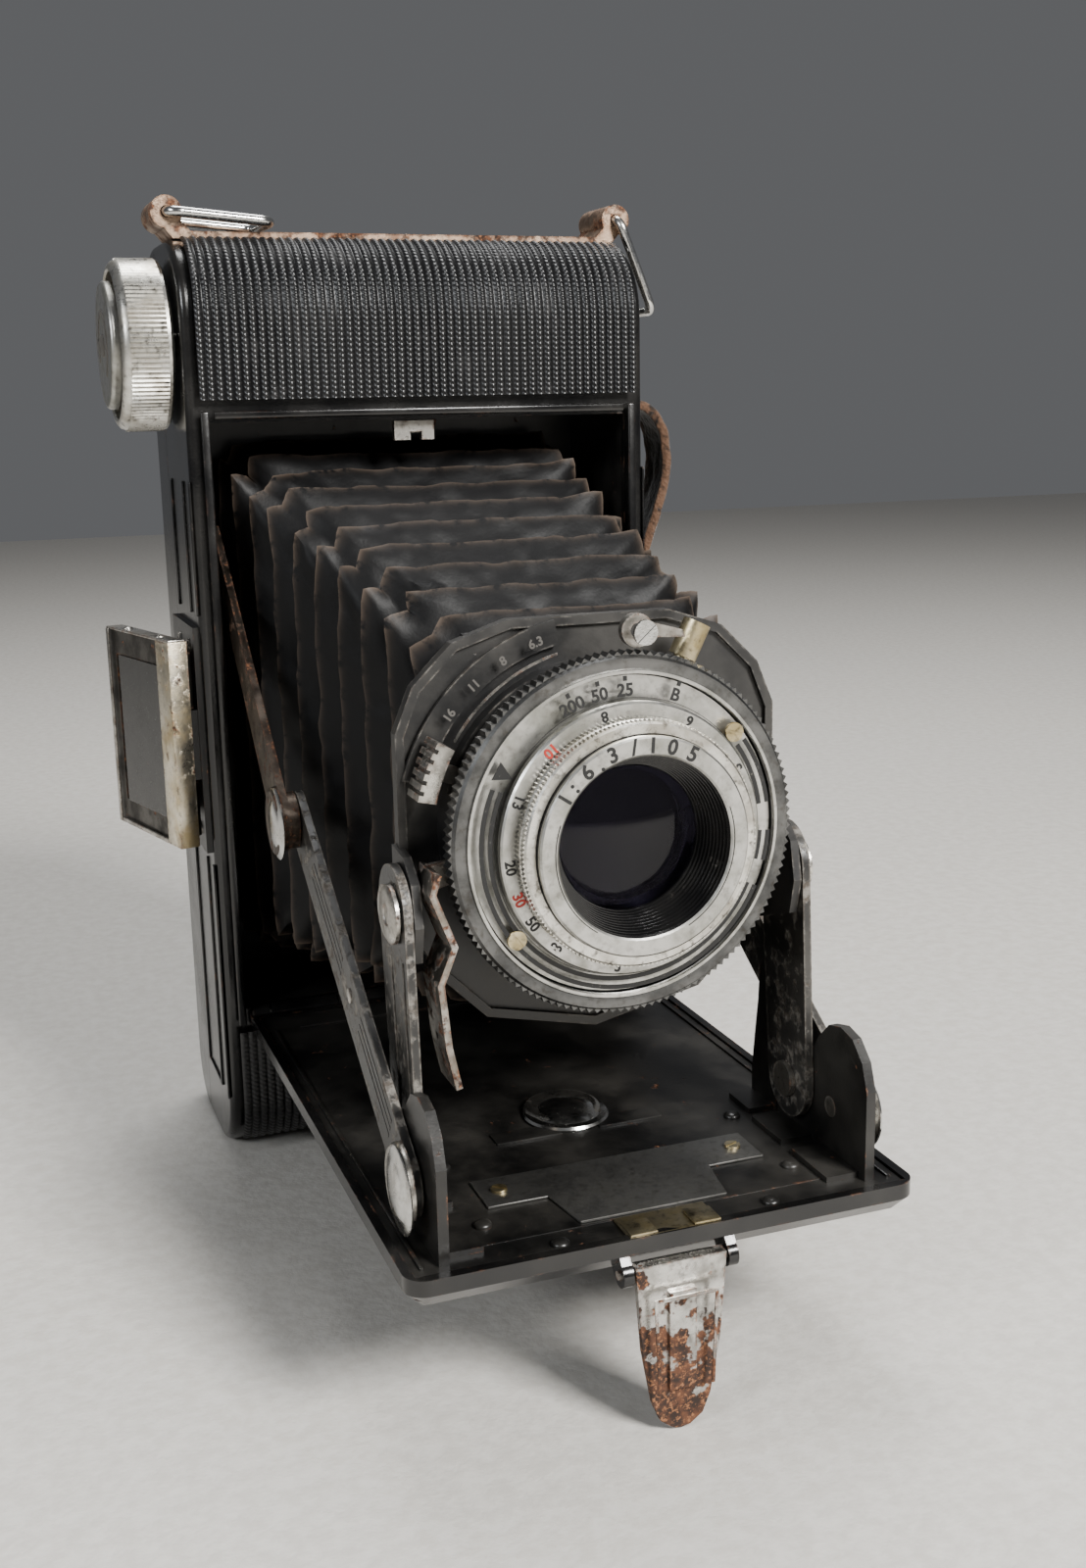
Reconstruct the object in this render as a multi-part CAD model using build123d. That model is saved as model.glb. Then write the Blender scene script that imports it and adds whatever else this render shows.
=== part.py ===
from build123d import *
import math
import os

# A vertical 6 x 9 cm roll-film folding camera, shown open on its drop bed and stand.
# Sizes are millimetres. While it is modelled, X runs to the right across the front, Y runs
# from the front to the back, Z runs up, and the point (0, 0, 0) is on the floor, under the
# middle of the body's front face. The last step moves the origin to the middle of the base.
# The left and right of a name are those of somebody who looks at the lens.

# Body
BODY_HALF = 40.3
BODY_HEIGHT = 159.0
BODY_DEPTH = 36.0
FRONT_ROUND = 13.0
BACK_ROUND = 10.0
RIM_ROUND = 1.2
WALL = 1.2
JOINT_Y = 24.0
JOINT_GAP = 0.15

# Opening for the bellows, and the frame round it
MOUTH_HALF = 36.6
MOUTH_LOW = 28.6
MOUTH_HIGH = 129.4
FRAME_WALL = 0.8
GATE_FRONT = 26.0
GATE_BACK = 27.4
GATE_HALF_WIDTH = 28.0
GATE_HALF_HEIGHT = 42.0
GATE_Z = 79.5

# Film transport
SPOOL_Y = 15.5
TOP_SPOOL_Z = 142.2
BOTTOM_SPOOL_Z = 15.2
SPOOL_RADIUS = 11.8
SPOOL_HALF = 32.9
ROLLER_Y = 26.0
ROLLER_LOW_Z = 24.9
ROLLER_HIGH_Z = 133.1

# Drop bed and its hinge
HINGE_Y = 0.5
HINGE_Z = 27.1
HINGE_BARREL = 1.6
HINGE_PIN = 0.75
BED_HALF = 36.0
BED_FRONT = -101.0
BED_BACK = -1.5
BED_TOP = 27.6
BED_UNDERSIDE = 23.1
BED_BEVEL = 2.3
PLATE_TOP = 27.2
PLATE_THICKNESS = 1.0

# Stand at the front of the bed
FOOT_PIVOT = (-100.8, 22.9)
FOOT_BARREL = 1.2

# Folding linkage: points are (y, z) with the bed open
STRUT_TOP = (13.5, 109.5)
STRUT_KNUCKLE = (-31.82, 69.70)
STRUT_FOOT = (-88.0, 34.3)
LINK_FOOT = (-78.0, 35.0)
LINK_TOP = (-75.5, 67.0)

# Planes of the linkage across the camera, (inner, outer) distance from the middle
TAB_PLANE = (26.8, 28.0)
LINK_PLANE = (28.2, 29.4)
BRACKET_PLANE = (29.6, 31.0)
LOWER_STRUT_PLANE = (31.2, 32.4)
FOOT_CAP_PLANE = (32.45, 33.8)
KNUCKLE_PLANE = (32.6, 34.0)
UPPER_STRUT_PLANE = (34.0, 35.2)
KNUCKLE_CAP_PLANE = (35.2, 36.2)
PIVOT_PIN = 1.5
CATCH_PIVOT = (3.9, 128.6)
PIVOT_HOLE = 1.56

# Lens standard and shutter
LENS_Z = 76.2
STANDARD_FRONT = -73.0
STANDARD_BACK = -71.8
CASE_RADIUS = 22.0
CASE_FRONT = -81.0
DECK_RADIUS = 21.3
DECK_FRONT = -83.9
SPEED_RING = (21.4, 24.4)
SPEED_RING_Y = (-84.0, -81.1)
SCALE_PLATE_Y = (-84.7, -83.9)
DISTANCE_RING = (14.6, 18.2)
DISTANCE_RING_Y = (-86.2, -84.9)
FOCUS_RING = (14.6, 16.5)
FOCUS_RING_Y = (-89.2, -86.3)
CELL_RADIUS = 14.5
CELL_NECK = 11.8
CELL_BORE = 11.88
CELL_FRONT = -89.6
NAME_RING_FRONT = -90.5
RELEASE_PIVOT = (2.4, 102.9)
BLADE_PIVOT = -17.0
CONE_MOUTH = 11.9
GLASS_RADIUS = 9.7

# Winding knob
KNOB_RADIUS = 14.3
KNOB_X = (-47.5, -41.0)

# Folding finder on the left side; points are (x, y)
FINDER_Z = (58.5, 94.0)
FINDER_FRONT_HINGE = (-42.9, 2.9)
FINDER_REAR_HINGE = (-42.6, 22.0)
FINDER_OPEN = 15.0
FINDER_BARREL = 1.1
FINDER_PIN = 0.55
FINDER_LENGTH = 26.5
FINDER_REAR_LENGTH = 12.5

# Strap fittings on the top
STRIP_Y = (10.2, 21.4)
STRIP_THICKNESS = 1.2
EYE_X = 39.75
EYE_Z = 163.2
EYE_RADIUS = 2.6
LOOP_WIRE = 0.85
LOOP_LENGTH = 17.0
LOOP_HALF_WIDTH = 7.2

# Back cover hinge, on the right side
BACK_HINGE = (41.4, 24.1)
BACK_BARREL = 1.1


def block(x, y, z):
    """A box between three (low, high) pairs."""
    size = [pair[1] - pair[0] for pair in (x, y, z)]
    middle = [(pair[0] + pair[1]) / 2 for pair in (x, y, z)]
    return Pos(*middle) * Box(*size)


def rod_x(x, y, z, radius):
    return Pos((x[0] + x[1]) / 2, y, z) * Rot(0, 90, 0) * Cylinder(radius, abs(x[1] - x[0]))


def rod_y(y, x, z, radius):
    return Pos(x, (y[0] + y[1]) / 2, z) * Rot(90, 0, 0) * Cylinder(radius, abs(y[1] - y[0]))


def rod_z(z, x, y, radius):
    return Pos(x, y, (z[0] + z[1]) / 2) * Cylinder(radius, abs(z[1] - z[0]))


def profile_x(points, x):
    """A polygon of (y, z) points, thickened from x[0] to x[1]."""
    low, high = sorted(x)
    return extrude(Plane.YZ.offset(low) * Polygon(*points, align=None), high - low, dir=(1, 0, 0))


def profile_y(points, y):
    """A polygon of (x, z) points, thickened from y[0] to y[1]."""
    low, high = sorted(y)
    return extrude(Plane.XZ.offset(-low) * Polygon(*points, align=None), high - low, dir=(0, 1, 0))


def profile_z(points, z):
    """A polygon of (x, y) points, thickened from z[0] to z[1]."""
    low, high = sorted(z)
    return extrude(Plane.XY.offset(low) * Polygon(*points, align=None), high - low, dir=(0, 0, 1))


def side_range(side, plane):
    """The x range of a plane of the linkage on one side, -1 for left and 1 for right."""
    return tuple(sorted((side * plane[0], side * plane[1])))


def bar(x, start, end, start_radius, end_radius):
    """A flat bar between two (y, z) points, with round ends."""
    run_y = end[0] - start[0]
    run_z = end[1] - start[1]
    length = math.hypot(run_y, run_z)
    across = (-run_z / length, run_y / length)
    corners = [
        (start[0] + across[0] * start_radius, start[1] + across[1] * start_radius),
        (end[0] + across[0] * end_radius, end[1] + across[1] * end_radius),
        (end[0] - across[0] * end_radius, end[1] - across[1] * end_radius),
        (start[0] - across[0] * start_radius, start[1] - across[1] * start_radius),
    ]
    web = profile_x(corners, x)
    return web + rod_x(x, *start, start_radius) + rod_x(x, *end, end_radius)


def strip_outline(path, thickness):
    """The outline of a bent strip that follows a path of two-number points."""
    left = []
    right = []
    for i, point in enumerate(path):
        before = path[max(i - 1, 0)]
        after = path[min(i + 1, len(path) - 1)]
        run = (after[0] - before[0], after[1] - before[1])
        length = math.hypot(*run)
        across = (-run[1] / length * thickness / 2, run[0] / length * thickness / 2)
        left.append((point[0] + across[0], point[1] + across[1]))
        right.append((point[0] - across[0], point[1] - across[1]))
    return left + right[::-1]


def ring(radii, y, z=LENS_Z):
    """A ring round the lens axis."""
    return rod_y(y, 0, z, radii[1]) - rod_y((y[0] - 1, y[1] + 1), 0, z, radii[0])


def polar(radius, angle):
    """The (x, z) point at an angle in degrees round the lens axis, from +X towards +Z."""
    turn = math.radians(angle)
    return radius * math.cos(turn), LENS_Z + radius * math.sin(turn)


def sector(radii, angles, y, steps=12):
    """A piece of a flat ring round the lens axis."""
    turns = [angles[0] + (angles[1] - angles[0]) * i / steps for i in range(steps + 1)]
    inner = [polar(radii[0], turn) for turn in turns]
    outer = [polar(radii[1], turn) for turn in turns]
    return profile_y(inner + outer[::-1], y)


def group(*solids):
    """Separate solids that share one node."""
    return Compound([solid for shape in solids for solid in shape.solids()])


# ---------------------------------------------------------------- body

def body_outline(inset, x_half):
    """The whole closed body, rounded at its ends, drawn in by an inset."""
    depth = BODY_DEPTH - 2 * inset
    height = BODY_HEIGHT - 2 * inset
    solid = block((-x_half, x_half), (inset, inset + depth), (inset, inset + height))
    front = [e for e in solid.edges().filter_by(Axis.X) if e.center().Y < inset + 0.01]
    solid = fillet(front, FRONT_ROUND - inset)
    back = [e for e in solid.edges().filter_by(Axis.X) if e.center().Y > inset + depth - 0.01]
    return fillet(back, BACK_ROUND - inset)


def whole_body():
    """The closed body with its rims eased."""
    solid = body_outline(0, BODY_HALF)
    sides = solid.faces().filter_by(Axis.X)
    return fillet(sides.edges(), RIM_ROUND)


def hinge_groove():
    return rod_x((-35.7, 35.7), HINGE_Y, HINGE_Z, HINGE_BARREL + 0.4)


def body_shell():
    """Front half of the body: the two film chambers and the face round the mouth."""
    front = block((-50, 50), (-1, JOINT_Y), (-1, BODY_HEIGHT + 1))
    shell = whole_body() & front
    shell -= body_outline(WALL, BODY_HALF - WALL)
    shell -= block((-MOUTH_HALF, MOUTH_HALF), (-1, 3), (MOUTH_LOW, MOUTH_HIGH))
    shell -= hinge_groove()
    shell -= rod_x((-45, -35), SPOOL_Y, TOP_SPOOL_Z, 2.3)
    for z in ((20, 50), (80, 110)):
        knuckle = rod_z(z, *BACK_HINGE, BACK_BARREL)
        knuckle += block((BODY_HALF - 0.4, BACK_HINGE[0]), (22.95, 23.95), z)
        shell += knuckle - rod_z((z[0] - 1, z[1] + 1), *BACK_HINGE, 0.6)
    return shell


def inner_frame():
    """Sheet frame that joins the chambers: four walls, film gate, roller ears, hinge rail."""
    outer = MOUTH_HALF + 1.2
    low = MOUTH_LOW - FRAME_WALL
    high = MOUTH_HIGH + FRAME_WALL
    frame = block((-outer, outer), (WALL, GATE_BACK), (low, high))
    frame -= block((-MOUTH_HALF, MOUTH_HALF), (-1, GATE_FRONT), (MOUTH_LOW, MOUTH_HIGH))
    window_z = (GATE_Z - GATE_HALF_HEIGHT, GATE_Z + GATE_HALF_HEIGHT)
    frame -= block((-GATE_HALF_WIDTH, GATE_HALF_WIDTH), (20, 30), window_z)
    for side in (-1, 1):
        rail_x = side_range(side, (GATE_HALF_WIDTH + 0.8, GATE_HALF_WIDTH + 2.4))
        frame += block(rail_x, (GATE_BACK, GATE_BACK + 0.5), (low + 1, high - 1))
        for z, step in ((ROLLER_LOW_Z, 1), (ROLLER_HIGH_Z, -1)):
            ear_z = tuple(sorted((z - 1.9 * step, z + 4.0 * step)))
            ear = block(side_range(side, (36.7, 37.8)), (23.6, 27.4), ear_z)
            frame += ear - rod_x(side_range(side, (35, 40)), ROLLER_Y, z, 0.86)
    rail = block((-outer, outer), (WALL, 4.2), (23.6, MOUTH_LOW)) - hinge_groove()
    frame = frame - hinge_groove() + rail
    for x in ((-20, 20), (32.5, 35.3), (-35.3, -32.5)):
        barrel = rod_x(x, HINGE_Y, HINGE_Z, HINGE_BARREL)
        barrel += profile_x([(0.5, 25.7), (0.5, 27.1), (2.1, 27.1), (3.2, 26.0), (2.4, 24.4), (1.3, 25.5)], x)
        frame += barrel - rod_x((x[0] - 1, x[1] + 1), HINGE_Y, HINGE_Z, HINGE_PIN + 0.05)
    return frame


def body_pins():
    """Every pin that the body holds: hinges, upper struts and the ends of the spools."""
    pins = [rod_x((-35.4, 35.4), HINGE_Y, HINGE_Z, HINGE_PIN), rod_z((20, 139.7), *BACK_HINGE, 0.53)]
    for hinge in (FINDER_FRONT_HINGE, FINDER_REAR_HINGE):
        pins.append(rod_z((60.2, 91.8), *hinge, FINDER_PIN))
    for side in (-1, 1):
        pins.append(rod_x(side_range(side, (UPPER_STRUT_PLANE[0] - 0.1, MOUTH_HALF)), *STRUT_TOP, 1.2))
    for side, z in ((-1, BOTTOM_SPOOL_Z), (1, BOTTOM_SPOOL_Z), (1, TOP_SPOOL_Z)):
        pins.append(rod_x(side_range(side, (SPOOL_HALF - 3.6, BODY_HALF - WALL)), SPOOL_Y, z, 2.93))
    return group(*pins)


def skin(region):
    """Leatherette half a millimetre thick on the outside of the body, within a region."""
    return (body_outline(-0.5, BODY_HALF) - body_outline(0, BODY_HALF + 1)) & region


def body_leather():
    """Leatherette on the front of both film chambers."""
    top = skin(block((-38.2, 38.2), (-2, STRIP_Y[0] - 0.4), (133.0, 165)))
    bottom = skin(block((-38.2, 38.2), (-2, 11), (3.2, 24.8)))
    return group(top, bottom)


def strap_strip():
    """Steel strip on the top, rolled up into an eye at each end."""
    top = BODY_HEIGHT + STRIP_THICKNESS
    strip = block((-37.0, 37.0), STRIP_Y, (BODY_HEIGHT, top))
    for side in (-1, 1):
        riser = [(36.0, BODY_HEIGHT), (38.9, BODY_HEIGHT), (41.0, 161.6), (38.0, 162.4), (36.0, top)]
        strip += profile_y([(side * x, z) for x, z in riser], STRIP_Y)
        strip += rod_y(STRIP_Y, side * EYE_X, EYE_Z, EYE_RADIUS)
        strip -= rod_y((STRIP_Y[0] - 1, STRIP_Y[1] + 1), side * EYE_X, EYE_Z, LOOP_WIRE + 0.1)
    return strip


def strap_loop(side, direction):
    """Rectangular wire loop through an eye; direction is the (x, z) way that it lies."""
    middle = (STRIP_Y[0] + STRIP_Y[1]) / 2
    start = Vector(side * EYE_X, middle, EYE_Z)
    far = start + Vector(direction[0], 0, direction[1]) * LOOP_LENGTH
    half = Vector(0, LOOP_HALF_WIDTH, 0)
    path = FilletPolyline(start - half, far - half, far + half, start + half, radius=2.0, close=True)
    section = Plane(start, z_dir=(0, 1, 0)) * Circle(LOOP_WIRE)
    return sweep(section, path=path)


def bed_catch():
    """Spring catch at the top of the mouth that holds the closed bed."""
    tongue = block((-5.0, 2.0), (1.7, 3.0), (125.8, 129.0))
    tongue -= block((-2.2, -0.2), (1.0, 4.0), (124.0, 127.2))
    tongue += block((-4.0, 1.0), (3.0, 3.8), (127.0, 129.0))
    return tongue + rod_x((-4.0, 1.0), *CATCH_PIVOT, 0.5)


def strap_anchor():
    """Side plate and post that hold the leather hand strap."""
    post = block((BODY_HALF, 43.4), (12.0, 18.0), (127.4, 129.0))
    return post + block((BODY_HALF, 41.1), (10.5, 19.5), (124.0, 134.0))


def hand_strap():
    """Worn end of a leather hand strap: it arches out of its anchor and ends frayed."""
    path = [(42.4, 131.2), (46.2, 130.4), (49.7, 127.0), (50.6, 122.0), (49.6, 116.0),
            (47.2, 109.5), (45.4, 104.0), (44.8, 98.5)]
    return profile_y(strip_outline(path, 1.9), (10.6, 19.4))


# ---------------------------------------------------------------- back

def back_cover():
    """Rear half of the body, hinged on the right side."""
    rear = block((-50, 50), (JOINT_Y + JOINT_GAP, 60), (-1, BODY_HEIGHT + 1))
    cover = whole_body() & rear
    cover -= body_outline(WALL, BODY_HALF - WALL)
    cover -= rod_y((30, 40), 0, 60.0, 6.0)
    for z in ((50.3, 79.7), (110.3, 139.7)):
        knuckle = rod_z(z, *BACK_HINGE, BACK_BARREL)
        knuckle += block((BODY_HALF - 0.4, BACK_HINGE[0]), (24.2, 25.2), z)
        cover += knuckle - rod_z((z[0] - 1, z[1] + 1), *BACK_HINGE, 0.6)
    return cover


def leather_back():
    region = block((-38.2, 38.2), (26.2, 60), (10.5, 165))
    return skin(region) - rod_y((30, 40), 0, 60.0, 6.4)


def red_window():
    return rod_y((34.9, 35.9), 0, 60.0, 5.95)


def window_shutter():
    """Sliding plate over the red window, with a finger ridge."""
    plate = block((-8, 8), (36.6, 37.1), (52.4, 67.6))
    return plate + block((-0.9, 0.9), (37.1, 37.9), (56, 64))


def window_rails():
    """Two folded guides that hold the sliding plate."""
    rails = []
    for z, lip in (((50.6, 52.2), (50.6, 53.2)), ((67.8, 69.4), (66.8, 69.4))):
        rail = block((-9, 23), (36.5, 37.2), z)
        rails.append(rail + block((-9, 23), (37.2, 37.6), lip))
    return group(*rails)


def pressure_plate():
    """Plate that holds the film flat, with the two bowed leaf springs behind it."""
    plate = block((-30, 30), (29.2, 30.0), (33.0, 126.0)) - rod_y((28, 32), 0, 60.0, 6.6)
    bow = [(34.55, 42.0), (34.3, 52.0), (30.3, 66.0), (30.3, 93.0), (34.3, 107.0), (34.55, 117.0)]
    outline = strip_outline(bow, 0.4)
    return group(plate, profile_x(outline, (-24, -14)), profile_x(outline, (14, 24)))


def back_latch():
    """Sliding latch on the left edge of the back cover, with three finger ridges."""
    latch = block((-41.3, -BODY_HALF), (25.4, 32.0), (68.0, 86.0))
    for z in (73.0, 77.0, 81.0):
        latch += block((-41.9, -41.3), (26.4, 31.0), (z - 0.6, z + 0.6))
    return latch


# ---------------------------------------------------------------- film transport

def spool(z):
    """Roll-film spool: a core, two flanges and a keyed hole at each end."""
    body = rod_x((-SPOOL_HALF, SPOOL_HALF), SPOOL_Y, z, 6.0)
    for side in (-1, 1):
        flange_x = side_range(side, (SPOOL_HALF - 1.0, SPOOL_HALF))
        body += rod_x(flange_x, SPOOL_Y, z, SPOOL_RADIUS)
        hole_x = side_range(side, (SPOOL_HALF - 5.0, SPOOL_HALF + 1.0))
        body -= rod_x(hole_x, SPOOL_Y, z, 3.0)
        body -= block(hole_x, (SPOOL_Y - 4.8, SPOOL_Y + 4.8), (z - 0.9, z + 0.9))
    return body


def guide_roller(z):
    roller = rod_x((-31.4, 31.4), ROLLER_Y, z, 2.0)
    return roller + rod_x((-37.7, 37.7), ROLLER_Y, z, 0.8)


def wind_knob():
    """Knurled rim of the winding knob, hollow on its outer face."""
    knob = rod_x(KNOB_X, SPOOL_Y, TOP_SPOOL_Z, KNOB_RADIUS)
    knob -= rod_x((KNOB_X[0] - 1, -43.4), SPOOL_Y, TOP_SPOOL_Z, 12.4)
    return knob - rod_x((-50, -40), SPOOL_Y, TOP_SPOOL_Z, 2.2)


def wind_knob_cap():
    """Flat disc on a hub that stands out of the knob's recess, with the winding key behind it."""
    disc = rod_x((-50.8, -49.2), SPOOL_Y, TOP_SPOOL_Z, 10.4)
    disc = fillet(disc.edges().group_by(Axis.X)[0], 0.7)
    hub = rod_x((-49.2, -43.4), SPOOL_Y, TOP_SPOOL_Z, 8.2)
    cap = disc + hub - rod_x((-49, -40), SPOOL_Y, TOP_SPOOL_Z, 2.2)
    return group(cap, wind_key())


def wind_key():
    """Shaft from the knob, with the blade that turns the upper spool."""
    shaft = rod_x((-48.9, -32.0), SPOOL_Y, TOP_SPOOL_Z, 2.15)
    blade = block((-32.4, -29.4), (SPOOL_Y - 4.2, SPOOL_Y + 4.2), (TOP_SPOOL_Z - 0.6, TOP_SPOOL_Z + 0.6))
    return shaft + blade


# ---------------------------------------------------------------- bed and stand

def bed_panel():
    """Pressed tray with bevelled edges, three hinge arms and the stand's lugs."""
    panel = block((-BED_HALF, BED_HALF), (BED_FRONT, BED_BACK), (BED_UNDERSIDE, BED_TOP))
    corners = [e for e in panel.edges().filter_by(Axis.Z) if e.center().Y < BED_FRONT + 0.01]
    panel = fillet(corners, 3.0)
    panel = chamfer(panel.faces().sort_by(Axis.Z)[0].edges(), BED_BEVEL)
    panel -= block((-34.7, 34.7), (-99.6, -2.8), (BED_UNDERSIDE + 1.2, BED_TOP + 1))
    panel += block((-34.0, 34.0), (-99.0, -97.4), (BED_UNDERSIDE + 0.8, PLATE_TOP - PLATE_THICKNESS))
    panel -= rod_z((20, 30), 0, -59.7, 5.2)
    for x in ((20.3, 32.2), (-32.2, -20.3)):
        arm = rod_x(x, HINGE_Y, HINGE_Z, HINGE_BARREL)
        arm += profile_x([(-2.6, 25.5), (0.5, 25.5), (0.5, 27.1), (-1.0, 27.4), (-2.6, 27.4)], x)
        panel += arm - rod_x((x[0] - 1, x[1] + 1), HINGE_Y, HINGE_Z, HINGE_PIN + 0.07)
    for x in ((6.7, 8.1), (-8.1, -6.7)):
        lug = rod_x(x, *FOOT_PIVOT, 1.7)
        lug += profile_x([(-101.6, 24.4), (-100.2, 26.2), (-97.0, 24.2), (-99.6, 21.7)], x)
        panel += lug - rod_x((x[0] - 1, x[1] + 1), *FOOT_PIVOT, 0.66)
    return panel


def bed_inner_plate():
    plate = block((-34.6, 34.6), (-99.5, -2.9), (PLATE_TOP - PLATE_THICKNESS, PLATE_TOP))
    return plate - rod_z((20, 30), 0, -59.7, 4.2)


def bed_leather():
    """Leatherette on the outer face of the bed, in two parts round the stand and bush."""
    skin_z = (22.65, BED_UNDERSIDE)
    leather = block((-32.6, 32.6), (-97.6, -5.0), skin_z)
    return leather - rod_z((20, 30), 0, -59.7, 7.2)


def tripod_bush():
    """Threaded bush for a tripod screw, and its domed cap inside the bed."""
    bush = rod_z((22.3, 27.2), 0, -59.7, 4.1) + rod_z((22.3, 26.1), 0, -59.7, 5.1)
    bush += rod_z((22.3, BED_UNDERSIDE - 0.02), 0, -59.7, 7.0)
    bush -= rod_z((21, 26.6), 0, -59.7, 3.175)
    cap = rod_z((PLATE_TOP, 28.5), 0, -59.7, 5.9)
    cap = fillet(cap.edges().group_by(Axis.Z)[-1], 1.0)
    return group(bush, cap)


def maker_plate():
    """Blank stepped plate on the bed."""
    outline = [(-20.5, -76), (20.5, -76), (20.5, -84), (12, -84), (10.6, -92.4),
               (-10.6, -92.4), (-12, -84), (-20.5, -84)]
    return profile_z(outline, (PLATE_TOP, PLATE_TOP + 0.4))


def keeper_spring():
    """Brass strip at the front of the bed that the catch grips."""
    return block((-6.4, 6.4), (-99.2, -93.2), (PLATE_TOP, PLATE_TOP + 0.5))


def bed_rivets():
    """Rivets of the inner plate, the blank plate and the brackets."""
    places = [(22.6, -88.0), (21.5, -96.5), (15.0, -96.5), (22.6, -70.0)]
    rivets = [rod_z((PLATE_TOP, PLATE_TOP + 0.6), side * x, y, 1.3) for x, y in places for side in (-1, 1)]
    for side in (-1, 1):
        rivets.append(rod_z((PLATE_TOP + 0.4, PLATE_TOP + 0.9), side * 17.8, -80.0, 1.1))
    return rivets


def bed_trim():
    """Blank plate, keeper spring and rivets on the inside of the bed."""
    return group(maker_plate(), keeper_spring(), *bed_rivets())


def bed_bracket(side):
    """Upright bracket that carries the lower strut and the standard's link."""
    x = side_range(side, BRACKET_PLANE)
    upright = [(-97.6, PLATE_TOP), (-97.6, 40.0), (-96.2, 43.8), (-93.6, 46.3), (-90.4, 47.0),
               (-87.2, 46.2), (-84.6, 43.6), (-82.4, 40.6), (-78.0, 40.0), (-73.6, 38.2), (-72.6, 35.0),
               (-72.6, PLATE_TOP)]
    bracket = profile_x(upright, x)
    bracket += block(side_range(side, (24.6, BRACKET_PLANE[0] + 0.2)), (-96.0, -86.0), (PLATE_TOP, PLATE_TOP + 0.8))
    bracket += block(side_range(side, (24.6, BRACKET_PLANE[0] + 0.2)), (-83.0, -74.0), (PLATE_TOP, PLATE_TOP + 0.8))
    wide = (x[0] - 1, x[1] + 1)
    return bracket - rod_x(wide, *STRUT_FOOT, PIVOT_PIN) - rod_x(wide, *LINK_FOOT, PIVOT_PIN)


def stay_arm():
    """Curved stay behind the right bracket."""
    x = side_range(1, BRACKET_PLANE)
    outline = [(-72.2, PLATE_TOP), (-72.2, 34.0), (-73.6, 40.0), (-75.2, 44.0), (-75.0, 48.6), (-72.4, 51.0),
               (-69.0, 51.0), (-66.6, 48.4), (-66.2, 43.0), (-65.2, 37.0), (-64.4, 31.6), (-64.4, PLATE_TOP)]
    arm = profile_x(outline, x)
    return arm + block((25.4, BRACKET_PLANE[0] + 0.2), (-71.6, -65.0), (PLATE_TOP, PLATE_TOP + 0.8))


def bed_brackets():
    return group(bed_bracket(-1), bed_bracket(1), stay_arm())


def bed_pins():
    """Pins that the bed holds: the stand's, a domed one at each lower strut, one at each link."""
    pins = [rod_x((-8.4, 8.4), *FOOT_PIVOT, 0.6)]
    for side in (-1, 1):
        strut = rod_x(side_range(side, (BRACKET_PLANE[0], FOOT_CAP_PLANE[0])), *STRUT_FOOT, PIVOT_PIN)
        cap = rod_x(side_range(side, FOOT_CAP_PLANE), *STRUT_FOOT, 5.6)
        outer = cap.edges().sort_by(Axis.X)[-1 if side > 0 else 0]
        pins.append(strut + fillet(outer, 1.1))
        link = rod_x(side_range(side, (28.1, BRACKET_PLANE[1])), *LINK_FOOT, PIVOT_PIN)
        pins.append(link + rod_x(side_range(side, (27.3, 28.15)), *LINK_FOOT, 2.6))
    return group(*pins)


def foot():
    """Stand: a tapered strip with a rounded tip, a raised rib and a rolled top."""
    front, back = -102.2, -101.2
    tip = [(-4.1, 4.2), (-3.0, 1.5), (-1.2, 0.2), (0, 0), (1.2, 0.2), (3.0, 1.5), (4.1, 4.2)]
    outline = tip + [(5.5, 12.0), (6.4, 24.0), (-6.4, 24.0), (-5.5, 12.0)]
    strip = profile_y(outline, (front, back))
    strip += block((-1.9, 1.9), (front - 0.5, front + 0.1), (6.0, 20.0))
    strip += rod_x((-6.4, 6.4), *FOOT_PIVOT, FOOT_BARREL)
    return strip - rod_x((-8, 8), *FOOT_PIVOT, 0.66)


# ---------------------------------------------------------------- folding linkage

def upper_strut(side):
    """Thin strut from the body wall to the knuckle, with the domed knuckle cap."""
    x = side_range(side, UPPER_STRUT_PLANE)
    strut = bar(x, STRUT_TOP, STRUT_KNUCKLE, 2.4, 4.6)
    cap = rod_x(side_range(side, KNUCKLE_CAP_PLANE), *STRUT_KNUCKLE, 5.4)
    outer = cap.edges().sort_by(Axis.X)[-1 if side > 0 else 0]
    strut += fillet(outer, 0.8)
    strut += rod_x(side_range(side, KNUCKLE_PLANE), *STRUT_KNUCKLE, 4.4)
    wide = (x[0] - 0.1, x[1] + 0.1)
    return strut - rod_x(wide, *STRUT_TOP, 1.26)


def lower_strut(side):
    """Wide strut from the knuckle to the bed bracket."""
    x = side_range(side, LOWER_STRUT_PLANE)
    strut = bar(x, STRUT_KNUCKLE, STRUT_FOOT, 4.4, 4.4)
    return strut - rod_x((x[0] - 1, x[1] + 1), *STRUT_FOOT, PIVOT_HOLE)


def standard_link(side):
    """Flat link that carries the lens standard from the bed bracket."""
    x = side_range(side, LINK_PLANE)
    link = bar(x, LINK_FOOT, LINK_TOP, 5.6, 6.2)
    wide = (x[0] - 1, x[1] + 1)
    return link - rod_x(wide, *LINK_FOOT, PIVOT_HOLE) - rod_x(wide, *LINK_TOP, PIVOT_HOLE)


def standard_pins():
    """Rivets that join the standard's tabs to the links."""
    pins = []
    for side in (-1, 1):
        pin = rod_x(side_range(side, (TAB_PLANE[0], 29.5)), *LINK_TOP, PIVOT_PIN)
        pins.append(pin + rod_x(side_range(side, (29.45, 30.3)), *LINK_TOP, 3.6))
    return group(*pins)


# ---------------------------------------------------------------- lens standard

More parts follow.
